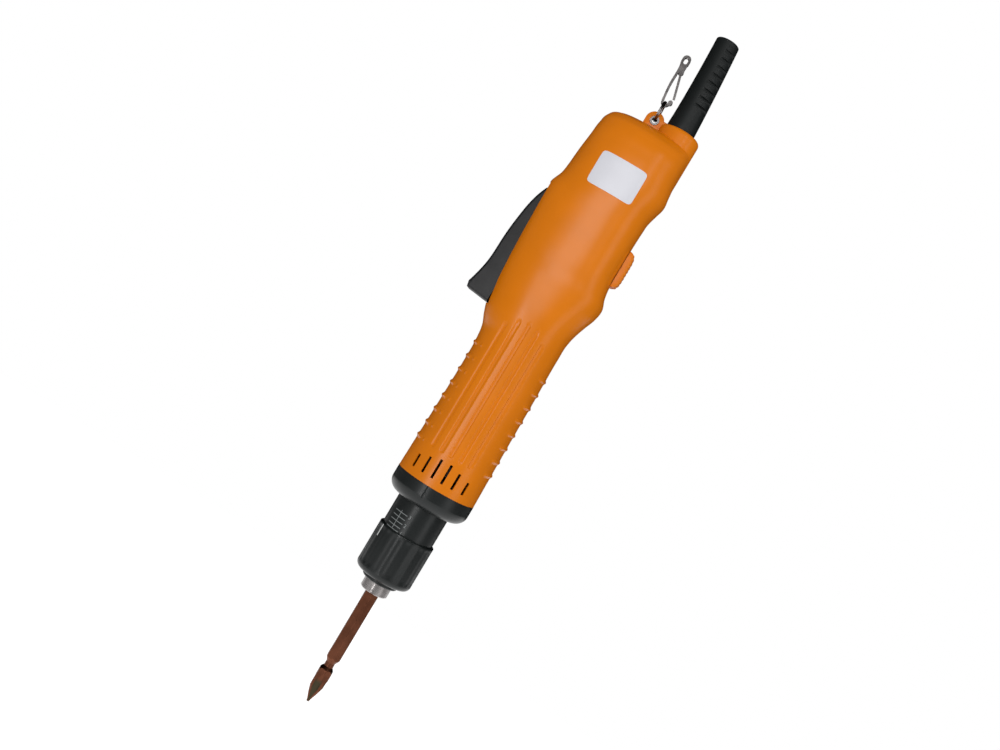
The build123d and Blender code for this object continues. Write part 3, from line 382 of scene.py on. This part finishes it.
class SCREWDRIVER_OT_housing(bpy.types.Operator):
    """Finishes the housing, lever, knob, boot and label"""
    bl_idname = "screwdriver.housing"
    bl_label = "Housing and controls"

    def execute(self, context):
        looks = context.scene.housing_looks
        orange = moulded("housing_orange", looks.orange, 0.27, 0.34, 2600.0, 0.04, 0.03, specular=0.3)
        self.half("front_shell_form", orange, -1)
        self.half("rear_shell_form", orange, 1)
        self.collar(orange)
        self.tab(orange)
        self.knob(moulded("knob_orange", looks.orange, 0.36, 0.46, 2600.0, 0.04, 0.03, specular=0.3))
        self.label(moulded("label_film", looks.label, 0.32, 0.42, 900.0, 0.02, 0.02))
        lever = moulded("lever_grey", looks.lever, 0.36, 0.5, 2200.0, 0.06, 0.08, specular=0.35)
        dress(["start_lever"], lever)
        self.boot(moulded("boot_rubber", looks.rubber, 0.4, 0.52, 1800.0, 0.05, 0.08, specular=0.4))
        return {"FINISHED"}

    def half(self, name, material, side):
        """One housing half: a skin with its openings cut, thickened inward. Side is -1 in front, 1 at the rear."""
        points = self.skin(side)
        if side > 0:
            points = points[:, ::-1]
        mesh = grid_mesh(name, points * MM)
        self.cut_openings(mesh, points, side)
        obj = place(name, mesh, material, "housing")
        wall = obj.modifiers.new("wall", "SOLIDIFY")
        wall.thickness = 0.0005
        wall.offset = -1.0
        crisp(obj, 38.0)
        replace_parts(obj, name.replace("_form", ""))

    def skin(self, side):
        """Points of one half: x = R |cos t|^(2/p), y = D |sin t|^(2/p), less the grooves and plus the side ridges."""
        z = np.concatenate([np.linspace(-192.85, -178.0, 50), np.linspace(-177.6, -126.0, 150),
                            np.linspace(-125.4, -14.0, 125), np.linspace(-13.5, -3.7, 34),
                            LEVER_Z, KNOB_Z, [VENT_FOOT], VENT_TOPS])
        z = np.unique(np.round(z, 3))[::-1]
        left, right, depth, power = section_at(z)
        # Columns keep a fixed distance from the parting plane beside the slots and a fixed x across the front
        near = np.array([0.0, 1.2, 2.5, 4.0, 5.7, LEVER_HALF, 9.0])
        widest = 12.9
        vent_edges = [middle + edge for middle in VENT_MIDDLES for edge in (-VENT_HALF, VENT_HALF)]
        flat = np.unique(np.round(np.concatenate([np.linspace(-widest, widest, 73), vent_edges]), 3))
        reach_at = np.where(flat[None] < 0, left[:, None], right[:, None])
        # On the dome both draw in with the section, so that no column crosses its neighbour
        dome = z > -20
        floor = np.maximum(depth, np.where(dome, 15.0, 9.6))
        shrink = np.where(dome, np.minimum(1, 0.78 * np.minimum(left, right) / widest), 1)
        at_side = np.arcsin(np.clip(near[None] / floor[:, None], 0, 1) ** (power[:, None] / 2))
        lying = np.clip(np.abs(flat)[None] * shrink[:, None] / reach_at, 0, 1) ** (power[:, None] / 2)
        at_front = np.where(flat[None] < 0, np.arccos(lying), math.pi - np.arccos(lying))
        steps = np.linspace(0, 1, 16)[None, 1:-1]
        before = at_side[:, -1:] * (1 - steps) + at_front[:, :1] * steps
        after = at_front[:, -1:] * (1 - steps) + (math.pi - at_side[:, -1:]) * steps
        t = np.concatenate([at_side, before, at_front, after, math.pi - at_side[:, ::-1]], axis=1)
        reach = np.where(t < math.pi / 2, left[:, None], right[:, None])
        p = 2 / power[:, None]
        x = -np.sign(np.cos(t)) * reach * np.abs(np.cos(t)) ** p
        y = depth[:, None] * np.abs(np.sin(t)) ** p
        high = np.repeat(z[:, None], t.shape[1], axis=1)
        lift = self.ridges(x, y, high) - self.grooves(x, y, high)
        out = np.hypot(x, y)
        x, y = x * (1 + lift / out), y * (1 + lift / out)
        return np.stack([x, side * y, high], axis=-1)

    def cut_openings(self, mesh, points, side):
        """Takes the faces out at the lever's slot, the knob's slot, the vents and the rear half's screw holes."""
        middle = (points[1:, 1:] + points[:-1, :-1]).reshape(-1, 3) / 2
        x, y, z = middle[:, 0], np.abs(middle[:, 1]), middle[:, 2]
        gone = (x < -15) & (y < LEVER_HALF) & (z > LEVER_Z[0]) & (z < LEVER_Z[1])
        gone |= (x > 15) & (y < KNOB_HALF) & (z > KNOB_Z[0]) & (z < KNOB_Z[1])
        for where, top in zip(VENT_MIDDLES, VENT_TOPS):
            gone |= (np.abs(x - where) < VENT_HALF) & (y > 5) & (z > VENT_FOOT) & (z < top)
        if side > 0:
            for hole_x, hole_z in SCREW_HOLES:
                gone |= (np.hypot(x - hole_x, z - hole_z) < SCREW_HOLE_RADIUS) & (y > 5)
        work = bmesh.new()
        work.from_mesh(mesh)
        work.faces.ensure_lookup_table()
        bmesh.ops.delete(work, geom=[work.faces[k] for k in np.flatnonzero(gone)], context="FACES")
        work.to_mesh(mesh)
        work.free()

    def grooves(self, x, y, z):
        """Five grooves in the grip: 0.45 deep, 2 mm wide with soft edges, each with a round end."""
        deep = np.zeros_like(x)
        for k, top in enumerate((-113.7, -109.6, -109.1, -109.6, -113.7)):
            along = np.maximum(0, np.maximum(z - (top - 1.0), -176.4 - z))
            off = np.hypot(x - 4.8 * (k - 2), along)
            deep = np.maximum(deep, 0.45 * np.clip((1.0 - off) / 0.35, 0, 1))
        return np.where(y > 5, deep, 0.0)

    def ridges(self, x, y, z):
        """Eight low ridges on each side, h exp(-(dz / w)^2), that fade toward the front, each with a dot beyond."""
        places = -176.5 + 6.99 * np.arange(8)
        off = z[..., None] - places
        nearest = np.take_along_axis(off, np.abs(off).argmin(axis=-1)[..., None], axis=-1)[..., 0]
        turn = np.degrees(np.arctan2(y, np.abs(x)))
        bar = 0.65 * np.exp(-(nearest / 0.75) ** 2) * np.clip((33 - turn) / 8, 0, 1)
        dot = 0.35 * np.exp(-(nearest ** 2 + ((turn - 41) * 0.32) ** 2) / 0.45) * (x < 0)
        return bar + dot

    def label(self, material):
        """The blank label: x = x0 + q A cos' a, z = z0 + q B sin' a on the skin, with a squared outline of power 12."""
        a, q = np.meshgrid(np.linspace(0, 2 * math.pi, 96, endpoint=False), np.linspace(1, 0.0005, 24))
        reach = (np.abs(np.cos(a)) ** 12 + np.abs(np.sin(a)) ** 12) ** (-1 / 12)
        x = -0.3 + 11.2 * q * reach * np.cos(a)
        z = -34.3 + 8.0 * q * reach * np.sin(a)
        left, right, depth, power = section_at(z.ravel())
        side = np.where(x.ravel() < 0, left, right)
        y = depth * (1 - np.abs(x.ravel() / side) ** power) ** (1 / power)
        points = np.stack([x.ravel(), -(y + 0.14), z.ravel()], axis=-1).reshape(*x.shape, 3)
        rim = points[:1] + np.array([0.0, 0.2, 0.0])
        mesh = grid_mesh("rating_label_form", np.concatenate([rim, points]) * MM, closed_v=True)
        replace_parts(crisp(place("rating_label_form", mesh, material, "housing")), "rating_label")

    def knob(self, material):
        """The slide knob: x = x0 + H(z) cos^n a, y = W sin^n a, with H a rounded end times a row of teeth."""
        length, width, height, foot, middle = 9.1, 5.0, 3.8, 21.15, -66.2
        tooth, pitch = 0.34, 1.85
        z = np.concatenate([[-length], np.linspace(-length, length, 241), [length]])
        u = np.abs(z) / length
        tall = height * np.maximum(0, 1 - u ** 5) ** (1 / 3)
        teeth = tooth * np.abs(np.sin(math.pi * z / pitch)) * (u < 0.92)
        tall = np.maximum(0, tall - 0.4 + teeth)
        wide = width * (0.86 + 0.14 * np.maximum(0, 1 - u ** 6) ** 0.5)
        wide[[0, -1]] = 0.0
        a = np.linspace(-math.pi / 2, math.pi / 2, 41)
        x = foot + tall[:, None] * np.abs(np.cos(a)) ** 0.4
        y = wide[:, None] * np.sign(np.sin(a)) * np.abs(np.sin(a)) ** 0.4
        points = np.stack([x, y, np.repeat(middle + z[:, None], len(a), axis=1)], axis=-1)
        mesh = grid_mesh("reversing_knob_form", points[::-1] * MM)
        obj = crisp(place("reversing_knob_form", mesh, material, "reverser"), 40.0)
        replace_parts(obj, "reversing_knob")

    def collar(self, material):
        """The round collar that the boot stands in: x = 13.4 + r sin a, y = -r cos a, beside the tool's axis."""
        top, outer, edge = 1.0, 9.9, 2.2
        rows = [(6.95, -6.0), (6.95, top)] + corner(outer - edge, top - edge, edge, 90, 0, 9) + [(outer, -24.0)]
        mesh = turned_mesh("cable_collar", rows, 144, None, lambda z: 13.4)
        crisp(place("cable_collar", mesh, material, "housing"))

    def tab(self, material):
        """The hanging tab: a bevelled plate round the eye whose outline is r(a), with a web to the collar."""
        a = np.linspace(0, 2 * math.pi, 144, endpoint=False)
        c, h = np.cos(a), np.sin(a)
        web = np.where(c > 0, np.minimum(6.5 / np.maximum(c, 1e-6), 1.8 / np.maximum(h, 1e-6)), 0)
        foot = np.minimum(np.where(c > 0, 6.5, 4.4) / np.maximum(np.abs(c), 1e-6), 6.0 / np.maximum(-h, 1e-6))
        outline = np.where(h >= 0, np.maximum(4.4, web), foot)
        rows = [(1.66, 0, 1.5), (1.66, 0, -1.5), (0, -0.5, -1.5), (0, -0.15, -1.35), (0, 0, -1.0),
                (0, 0, 1.0), (0, -0.15, 1.35), (0, -0.5, 1.5)]
        rings = []
        for fixed, inset, y in rows:
            r = np.full_like(a, fixed) if fixed else outline + inset
            rings.append(np.stack([r * c, np.full_like(a, y), r * h], axis=-1))
        mesh = grid_mesh("hanging_tab", np.array(rings) * MM, closed_u=True, closed_v=True)
        crisp(place("hanging_tab", mesh, material, "housing"))

    def boot(self, material):
        """Bent taper with eight slots in two rows: r = R(z), cut to the chord d / cos(a - a0) where a slot lies."""
        foot, top, depth, chord = 3.1, 47.4, 2.1, 4.9
        slots = 42.1 - 3.98 * np.arange(8)
        edges = np.concatenate([slots + side for side in (-0.72, -0.70, 0.70, 0.72)])
        heights = np.sort(np.concatenate([np.linspace(-3.0, top - 0.5, 40), edges, edges - 1.99]))[::-1]

        def share(z):
            return np.clip((z - foot) / (top - foot), 0, 1)

        def cut(a, z, r):
            deep = np.zeros_like(r)
            for middle, drop in ((35.0, 0.0), (215.0, 1.99)):
                off = np.abs(turn_from(a, math.radians(middle)))
                inside = np.min(np.abs(z[..., None] - slots + drop), axis=-1) < 0.71
                reach = np.maximum(chord / np.cos(np.minimum(off, 1.2)), r - depth)
                deep = np.where(inside & (off < 1.2) & (r > 5.0), np.maximum(deep, r - reach), deep)
            return deep

        rows = [(6.85 - 1.2 * share(z) ** 0.8, z) for z in heights]
        rows = corner(5.15, top - 0.5, 0.5, 90, 0, 5) + rows
        rows = [(3.3, top - 25.0), (3.3, top)] + rows
        mesh = turned_mesh("cord_boot_form", rows, 180, cut, lambda z: 12.5 - 1.9 * share(z) ** 1.5)
        obj = crisp(place("cord_boot_form", mesh, material, "housing"), 35.0)
        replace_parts(obj, "cord_boot")


class SCREWDRIVER_OT_drive_end(bpy.types.Operator):
    """Finishes the front cap, clutch housing, torque nut, sleeve and bit"""
    bl_idname = "screwdriver.drive_end"
    bl_label = "Drive end"

    def execute(self, context):
        looks = context.scene.housing_looks
        metals = context.scene.metal_looks
        black = moulded("black_mouldings", looks.black, 0.27, 0.38, 2200.0, 0.04, 0.08, specular=0.4)
        dress(["clutch_housing"], black)
        self.cap(black)
        self.nut(black)
        plated = metal("plated_steel", metals.plated, 0.2, 0.32)
        dress(["bit_sleeve", "split_ring", "hook_frame", "hook_gate", "hanging_eyelet"], plated)
        bronze = metal("bit_bronze", metals.bit, 0.3, 0.42, 900.0, 0.06, 0.2)
        # Painted shade goes into the bit's flute hollows near the tip.
        self.paint_flute_shade(bronze)
        self.bit(bronze)
        return {"FINISHED"}

    def paint_flute_shade(self, material):
        """Paints shade into the ground flutes near the working tip, a dark olive painted shade in their hollows: cos
        4(a + 2 degrees) and the height give the mask.
        """
        tree = material.node_tree
        base = tree.nodes["Principled BSDF"].inputs["Base Color"]
        colour = base.links[0].from_socket
        where = add(tree, "ShaderNodeTexCoord")
        split = add(tree, "ShaderNodeSeparateXYZ")
        tree.links.new(where.outputs["Object"], split.inputs[0])
        x, y, z = split.outputs
        angle = math_node(tree, "ARCTAN2", x, math_node(tree, "MULTIPLY", y, -1.0))
        wave = math_node(tree, "COSINE", math_node(tree, "MULTIPLY", math_node(tree, "ADD", angle, 0.035), 4.0))
        across = math_node(tree, "MULTIPLY", math_node(tree, "ADD", wave, 0.65), 3.0, clamp=True)
        low = math_node(tree, "MULTIPLY", math_node(tree, "ADD", z, 0.2945), -500.0, clamp=True)
        mask = math_node(tree, "MULTIPLY", across, low)
        mix = add(tree, "ShaderNodeMix", data_type="RGBA")
        tree.links.new(mask, mix.inputs["Factor"])
        tree.links.new(colour, mix.inputs[6])
        # Painted shade: dark olive in the flute hollows near the tip.
        mix.inputs[7].default_value = (0.055, 0.045, 0.026, 1.0)
        tree.links.new(mix.outputs[2], base)

    def cap(self, material):
        """The black cap, a turned cup r = R(z), less 0.25 along a thin joint line on its front."""
        top, bottom, round_off, land = -192.7, -203.5, 5.5, 19.6
        rows = [(19.2, top - 0.1), (19.5, top), (land, top - 0.12), (land, bottom + round_off)]
        rows += corner(land - round_off, bottom + round_off, round_off, 0, -90, 12)
        rows += [(12.72, bottom), (12.72, bottom + 3.0)]

        def notch(a, z, r):
            across = np.abs(turn_from(a, math.radians(-5.4)))
            return np.where((across < 0.008) & (z > bottom + 5.0) & (z < top - 0.3), 0.25, 0.0)

        mesh = turned_mesh("front_cap_form", rows, 480, notch)
        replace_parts(crisp(place("front_cap_form", mesh, material, "housing")), "front_cap")

    def nut(self, material):
        """The torque nut as a turned sleeve with faint flutes: r = R(z) - 0.12 (0.5 + 0.5 cos 24a)."""
        top, bottom, outer, boss, round_off = -218.3, -241.5, 13.8, 8.7, 2.6
        rows = [(12.8, bottom + 3.0), (12.8, top)] + corner(outer - 0.5, top - 0.5, 0.5, 90, 0, 4)
        rows += [(outer, z) for z in np.linspace(top - 1.0, bottom + round_off + 0.3, 24)]
        rows += corner(outer - round_off, bottom + round_off, round_off, 0, -90, 9)
        rows += [(boss + 0.4, bottom), (boss, bottom - 0.4), (boss, -243.2), (boss - 0.4, -243.6)]
        rows += [(7.0, -243.6), (7.0, -231.0)]

        def flutes(a, z, r):
            along = np.clip((top - 1.2 - z) / 0.8, 0, 1) * np.clip((z - bottom - 3.4) / 0.8, 0, 1)
            return np.where(r > outer - 0.1, 0.12 * (0.5 + 0.5 * np.cos(24 * a)) * along, 0.0)

        mesh = turned_mesh("torque_nut_form", rows, 432, flutes)
        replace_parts(crisp(place("torque_nut_form", mesh, material, "nut")), "torque_nut")

    def bit(self, material):
        """The hex bit: r is the least of the hexagon, the turned ends and necks, and four round flutes at each tip."""
        half, tip, length, turn = 6.35 / 2, -306.9, 82.0, math.radians(-22.0)
        end = np.array([(0.0, 0.6), (0.25, 0.85), (1.6, 1.2), (4.4, 2.4), (6.7, 3.07), (8.8, 3.67), (14.0, 3.67)])
        neck = np.array([(15.2, 3.67), (16.8, 3.4), (18.4, 2.25), (20.6, 2.2), (21.6, 2.7), (22.8, 3.4), (23.4, 3.67)])
        shape = np.concatenate([end, neck, [(41.0, 3.67)]])
        flute_radius, lean = 2.0, math.tan(math.radians(11.5))
        near = np.concatenate([np.linspace(0, 15, 120), np.linspace(15.1, 24, 60), np.linspace(24.5, 41, 8)])
        heights = np.concatenate([near, (length - near[:-1])[::-1]])

        def carve(a, z, r):
            high = z - tip
            from_end = np.minimum(high, length - high)
            hexagon = half / np.cos(np.mod(a - turn + math.pi / 6, math.pi / 3) - math.pi / 6)
            kept = np.minimum(hexagon, np.interp(from_end, shape[:, 0], shape[:, 1]))
            off = np.mod(a + math.radians(2.0) + math.pi / 4, math.pi / 2) - math.pi / 4
            away = 0.45 + flute_radius + from_end * lean
            root = flute_radius ** 2 - (away * np.sin(off)) ** 2
            wall = away * np.cos(off) - np.sqrt(np.maximum(root, 0))
            return r - np.where(root > 0, np.minimum(kept, wall), kept)

        rows = [(10.0, tip + high) for high in heights[::-1]]
        mesh = turned_mesh("screwdriver_bit_form", rows, 240, carve)
        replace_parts(crisp(place("screwdriver_bit_form", mesh, material, "spindle")), "screwdriver_bit")


class SCREWDRIVER_OT_inside(bpy.types.Operator):
    """Finishes the motor, gears, clutch and electrics that the housing hides"""
    bl_idname = "screwdriver.inside"
    bl_label = "Inside pieces"

    def execute(self, context):
        metals = context.scene.metal_looks
        dress([
            "lever_pin", "motor_shaft", "rotor_core", "sun_pinion", "ring_gear", "stage_1_carrier", "stage_2_carrier",
            "clutch_balls", "clutch_cam", "output_spindle", "lock_ball", "lever_spring", "clutch_spring",
            "spindle_rings", "sleeve_spring",
        ], metal("tool_steel", metals.tool, 0.25, 0.4))
        dress(["shell_screws", "clamp_screws", "spring_seat"], metal("zinc_plate", (0.5, 0.5, 0.52), 0.3, 0.45))
        # Painted shade: the motor can and gearbox cover get a dark reddish brown so that the vents look dark inside.
        dress(["motor_can", "gearbox_cover"], metal("can_painted_shade", (0.06, 0.035, 0.03), 0.5, 0.6))
        dress(["windings", "commutator"], metal("copper_wire", (0.72, 0.36, 0.2), 0.3, 0.45))
        dress(["motor_bearings", "cover_bearing", "thrust_washer"],
              metal("bearing_bronze", (0.5, 0.36, 0.18), 0.35, 0.5))
        dress([f"stage_{stage}_planet_{letter}" for stage in (1, 2) for letter in "abc"],
              moulded("gear_acetal", (0.72, 0.7, 0.63)))
        dress(["circuit_board"], moulded("board_laminate", (0.03, 0.16, 0.07)))
        dress([
            "start_switch", "switch_plunger", "reversing_switch", "board_parts", "cord_clamp", "motor_end_cap",
            "cooling_fan",
        ], moulded("electric_parts", (0.03, 0.03, 0.035)))
        dress(["magnets", "brushes"], moulded("ferrite", (0.04, 0.04, 0.045), 0.6, 0.75))
        return {"FINISHED"}


class SCREWDRIVER_OT_scale(bpy.types.Operator):
    """Prints the torque scale on the clutch housing and the index on the nut"""
    bl_idname = "screwdriver.scale"
    bl_label = "Torque scale"

    def execute(self, context):
        looks = context.scene.scale_looks
        ink = moulded("scale_ink", looks.ink, 0.45, 0.55, 3000.0, 0.02, 0.03)
        lift = looks.lift / MM
        half = looks.line / MM / 2
        radius, centre = 12.7, -31.9
        half_deg = math.degrees(half / radius)
        stem = wrapped_bar("scale_stem", radius, centre - half_deg, centre + half_deg, -218.2, -208.9, lift, 3, 6)
        place("scale_stem", stem, ink, "housing")
        for k, z in enumerate((-209.9, -212.1, -214.2, -216.3, -218.05)):
            bar = wrapped_bar(f"scale_mark_{k}", radius, centre - 18.0, centre + 17.0, z - half, z + half, lift, 12, 2)
            place(f"scale_mark_{k}", bar, ink, "housing")
            if k % 2 == 0:
                self.numeral(str((4 - k) // 2 + 1), z, centre + 23.0, radius, lift, ink)
        paint = moulded("index_paint", looks.index, 0.45, 0.55, 3000.0, 0.02, 0.03)
        nut_radius, index, index_half = 13.8, -52.4, 1.4
        mark = wrapped_bar(
            "index_mark", nut_radius, index - index_half, index + index_half, -224.6, -218.9, lift + 0.02, 4, 8)
        place("index_mark", mark, paint, "nut")
        return {"FINISHED"}

    def numeral(self, text, z, degrees, radius, lift, ink):
        """One plain digit, its flat points (u, v) bent on the neck: x = r sin(a0 + u / r), y = -r cos(a0 + u / r)."""
        curve = bpy.data.curves.new(f"digit_{text}", "FONT")
        curve.body = text
        curve.size = 2.3 * MM
        curve.align_x = "CENTER"
        curve.align_y = "CENTER"
        flat = bpy.data.objects.new(f"digit_{text}_flat", curve)
        bpy.context.scene.collection.objects.link(flat)
        mesh = bpy.data.meshes.new_from_object(flat)
        bpy.data.objects.remove(flat)
        mesh.name = f"scale_digit_{text}"
        points = np.zeros(len(mesh.vertices) * 3, np.float32)
        mesh.vertices.foreach_get("co", points)
        points = points.reshape(-1, 3)
        r = (radius + lift) * MM
        angle = math.radians(degrees) + points[:, 0] / r
        bent = np.stack([r * np.sin(angle), -r * np.cos(angle), points[:, 1] + z * MM], axis=-1)
        mesh.vertices.foreach_set("co", bent.astype(np.float32).ravel())
        mesh.materials.clear()
        mesh.update()
        place(f"scale_digit_{text}", mesh, ink, "housing")


class SCREWDRIVER_OT_stage(bpy.types.Operator):
    """Sets up the pale floor, soft lights and the camera"""
    bl_idname = "screwdriver.stage"
    bl_label = "Studio"

    def execute(self, context):
        scene = context.scene
        looks = scene.stage_looks
        scene.view_settings.view_transform = "Standard"
        self.world(scene)
        self.floor(scene)
        self.camera(scene, looks)
        self.lamps(scene)
        return {"FINISHED"}

    def world(self, scene):
        """White where the camera looks, softer as a light, and nearly dark in reflections."""
        world = bpy.data.worlds.new("studio_white")
        scene.world = world
        world.use_nodes = True
        tree = world.node_tree
        back = tree.nodes["Background"]
        path = add(tree, "ShaderNodeLightPath")
        seen = math_node(tree, "MAXIMUM", path.outputs["Is Camera Ray"], path.outputs["Is Transmission Ray"])
        gloss = math_node(tree, "MULTIPLY", path.outputs["Is Glossy Ray"], -0.84)
        seen = math_node(tree, "ADD", seen, gloss)
        spread = add(tree, "ShaderNodeMapRange", clamp=False)
        spread.inputs["To Min"].default_value = 0.46
        spread.inputs["To Max"].default_value = 1.0
        tree.links.new(seen, spread.inputs["Value"])
        back.inputs["Color"].default_value = (1.0, 1.0, 1.0, 1.0)
        tree.links.new(spread.outputs[0], back.inputs["Strength"])

    def floor(self, scene):
        """A pale square below the tool that glows for the camera, so that it stays as white as the background."""
        half, height = 3.0, -0.95
        side = np.linspace(-half, half, 5)
        x, y = np.meshgrid(side, side)
        mesh = grid_mesh("floor", np.stack([x, y, np.full_like(x, height)], axis=-1))
        mesh.flip_normals()
        floor = bpy.data.objects.new("floor", mesh)
        scene.collection.objects.link(floor)
        material, tree, shader = start_material("floor_pale")
        shader.inputs["Base Color"].default_value = (0.8, 0.8, 0.8, 1.0)
        shader.inputs["Roughness"].default_value = 0.9
        path = add(tree, "ShaderNodeLightPath")
        seen = math_node(tree, "MAXIMUM", path.outputs["Is Camera Ray"], path.outputs["Is Transmission Ray"])
        seen = math_node(tree, "MAXIMUM", seen, path.outputs["Is Glossy Ray"])
        glow = math_node(tree, "MULTIPLY", seen, 0.85)
        shader.inputs["Emission Color"].default_value = (1.0, 1.0, 1.0, 1.0)
        tree.links.new(glow, shader.inputs["Emission Strength"])
        mesh.materials.append(material)

    def camera(self, scene, looks):
        """The camera, turned by yaw round the tool's long axis and rolled so that the tool leans in the picture."""
        yaw, roll = looks.yaw, looks.roll
        away = Vector((math.sin(yaw), -math.cos(yaw), 0))
        flat = Vector((math.cos(yaw), math.sin(yaw), 0))
        tall = Vector((0, 0, 1))
        right = flat * math.cos(roll) + tall * math.sin(roll)
        up = tall * math.cos(roll) - flat * math.sin(roll)
        spot = away * looks.distance + flat * -0.001 + tall * looks.height
        camera = bpy.data.objects.new("camera", bpy.data.cameras.new("camera"))
        camera.data.sensor_width = 36.0
        camera.data.lens = looks.lens
        camera.data.clip_start = 0.01
        turn = Matrix((right, up, away)).transposed().to_4x4()
        camera.matrix_world = Matrix.Translation(spot) @ turn
        scene.collection.objects.link(camera)
        scene.camera = camera

    def lamp(self, scene, name, spot, aim, size, power, long_way=(1.0, 0.0, 0.0)):
        """A flat rectangular light at a spot, facing an aim, with its first side along long_way."""
        light = bpy.data.lights.new(name, "AREA")
        light.shape = "RECTANGLE"
        light.size, light.size_y = size
        light.energy = power
        lamp = bpy.data.objects.new(name, light)
        back = (Vector(spot) - Vector(aim)).normalized()
        along = (Vector(long_way) - back * back.dot(Vector(long_way))).normalized()
        turn = Matrix((along, back.cross(along), back)).transposed().to_4x4()
        lamp.matrix_world = Matrix.Translation(spot) @ turn
        scene.collection.objects.link(lamp)

    def lamps(self, scene):
        middle, neck = (0.0, 0.0, -0.13), (0.0, 0.0, -0.22)
        self.lamp(scene, "long_softbox", (0.0, -0.88, 0.06), middle, (0.5, 0.07), 1.7, (0.93, 0.0, 0.37))
        self.lamp(scene, "boot_strip", (0.5, -0.75, 0.3), middle, (0.06, 0.5), 0.7)
        self.lamp(scene, "grip_strip", (-0.33, -0.84, -0.19), middle, (0.05, 0.22), 0.9)
        self.lamp(scene, "side_softbox", (1.0, -0.55, 0.0), middle, (0.4, 0.9), 1.7)
        self.lamp(scene, "neck_strip", (-0.20, -0.88, -0.34), neck, (0.03, 0.22), 0.35)


LOOKS = {
    "housing_looks": HousingLooks,
    "metal_looks": MetalLooks,
    "scale_looks": ScaleLooks,
    "stage_looks": StageLooks,
}
OPERATORS = [
    SCREWDRIVER_OT_housing,
    SCREWDRIVER_OT_drive_end,
    SCREWDRIVER_OT_inside,
    SCREWDRIVER_OT_scale,
    SCREWDRIVER_OT_stage,
]


class SCREWDRIVER_PT_panel(bpy.types.Panel):
    """Lists the steps that dress the tool"""
    bl_idname = "SCREWDRIVER_PT_panel"
    bl_label = "Torque screwdriver"
    bl_space_type = "VIEW_3D"
    bl_region_type = "UI"
    bl_category = "Torque screwdriver"

    def draw(self, context):
        for operator in OPERATORS:
            self.layout.operator(operator.bl_idname)
        for name, group in LOOKS.items():
            box = self.layout.box()
            for key in group.__annotations__:
                box.prop(getattr(context.scene, name), key)


def register():
    for name, group in LOOKS.items():
        bpy.utils.register_class(group)
        setattr(bpy.types.Scene, name, bpy.props.PointerProperty(type=group))
    for cls in (*OPERATORS, SCREWDRIVER_PT_panel):
        bpy.utils.register_class(cls)


def unregister():
    for cls in (SCREWDRIVER_PT_panel, *reversed(OPERATORS)):
        bpy.utils.unregister_class(cls)
    for name, group in LOOKS.items():
        delattr(bpy.types.Scene, name)
        bpy.utils.unregister_class(group)


def main():
    register()
    bpy.ops.screwdriver.housing()
    bpy.ops.screwdriver.drive_end()
    bpy.ops.screwdriver.inside()
    bpy.ops.screwdriver.scale()
    bpy.ops.screwdriver.stage()


if __name__ == "__main__":
    main()
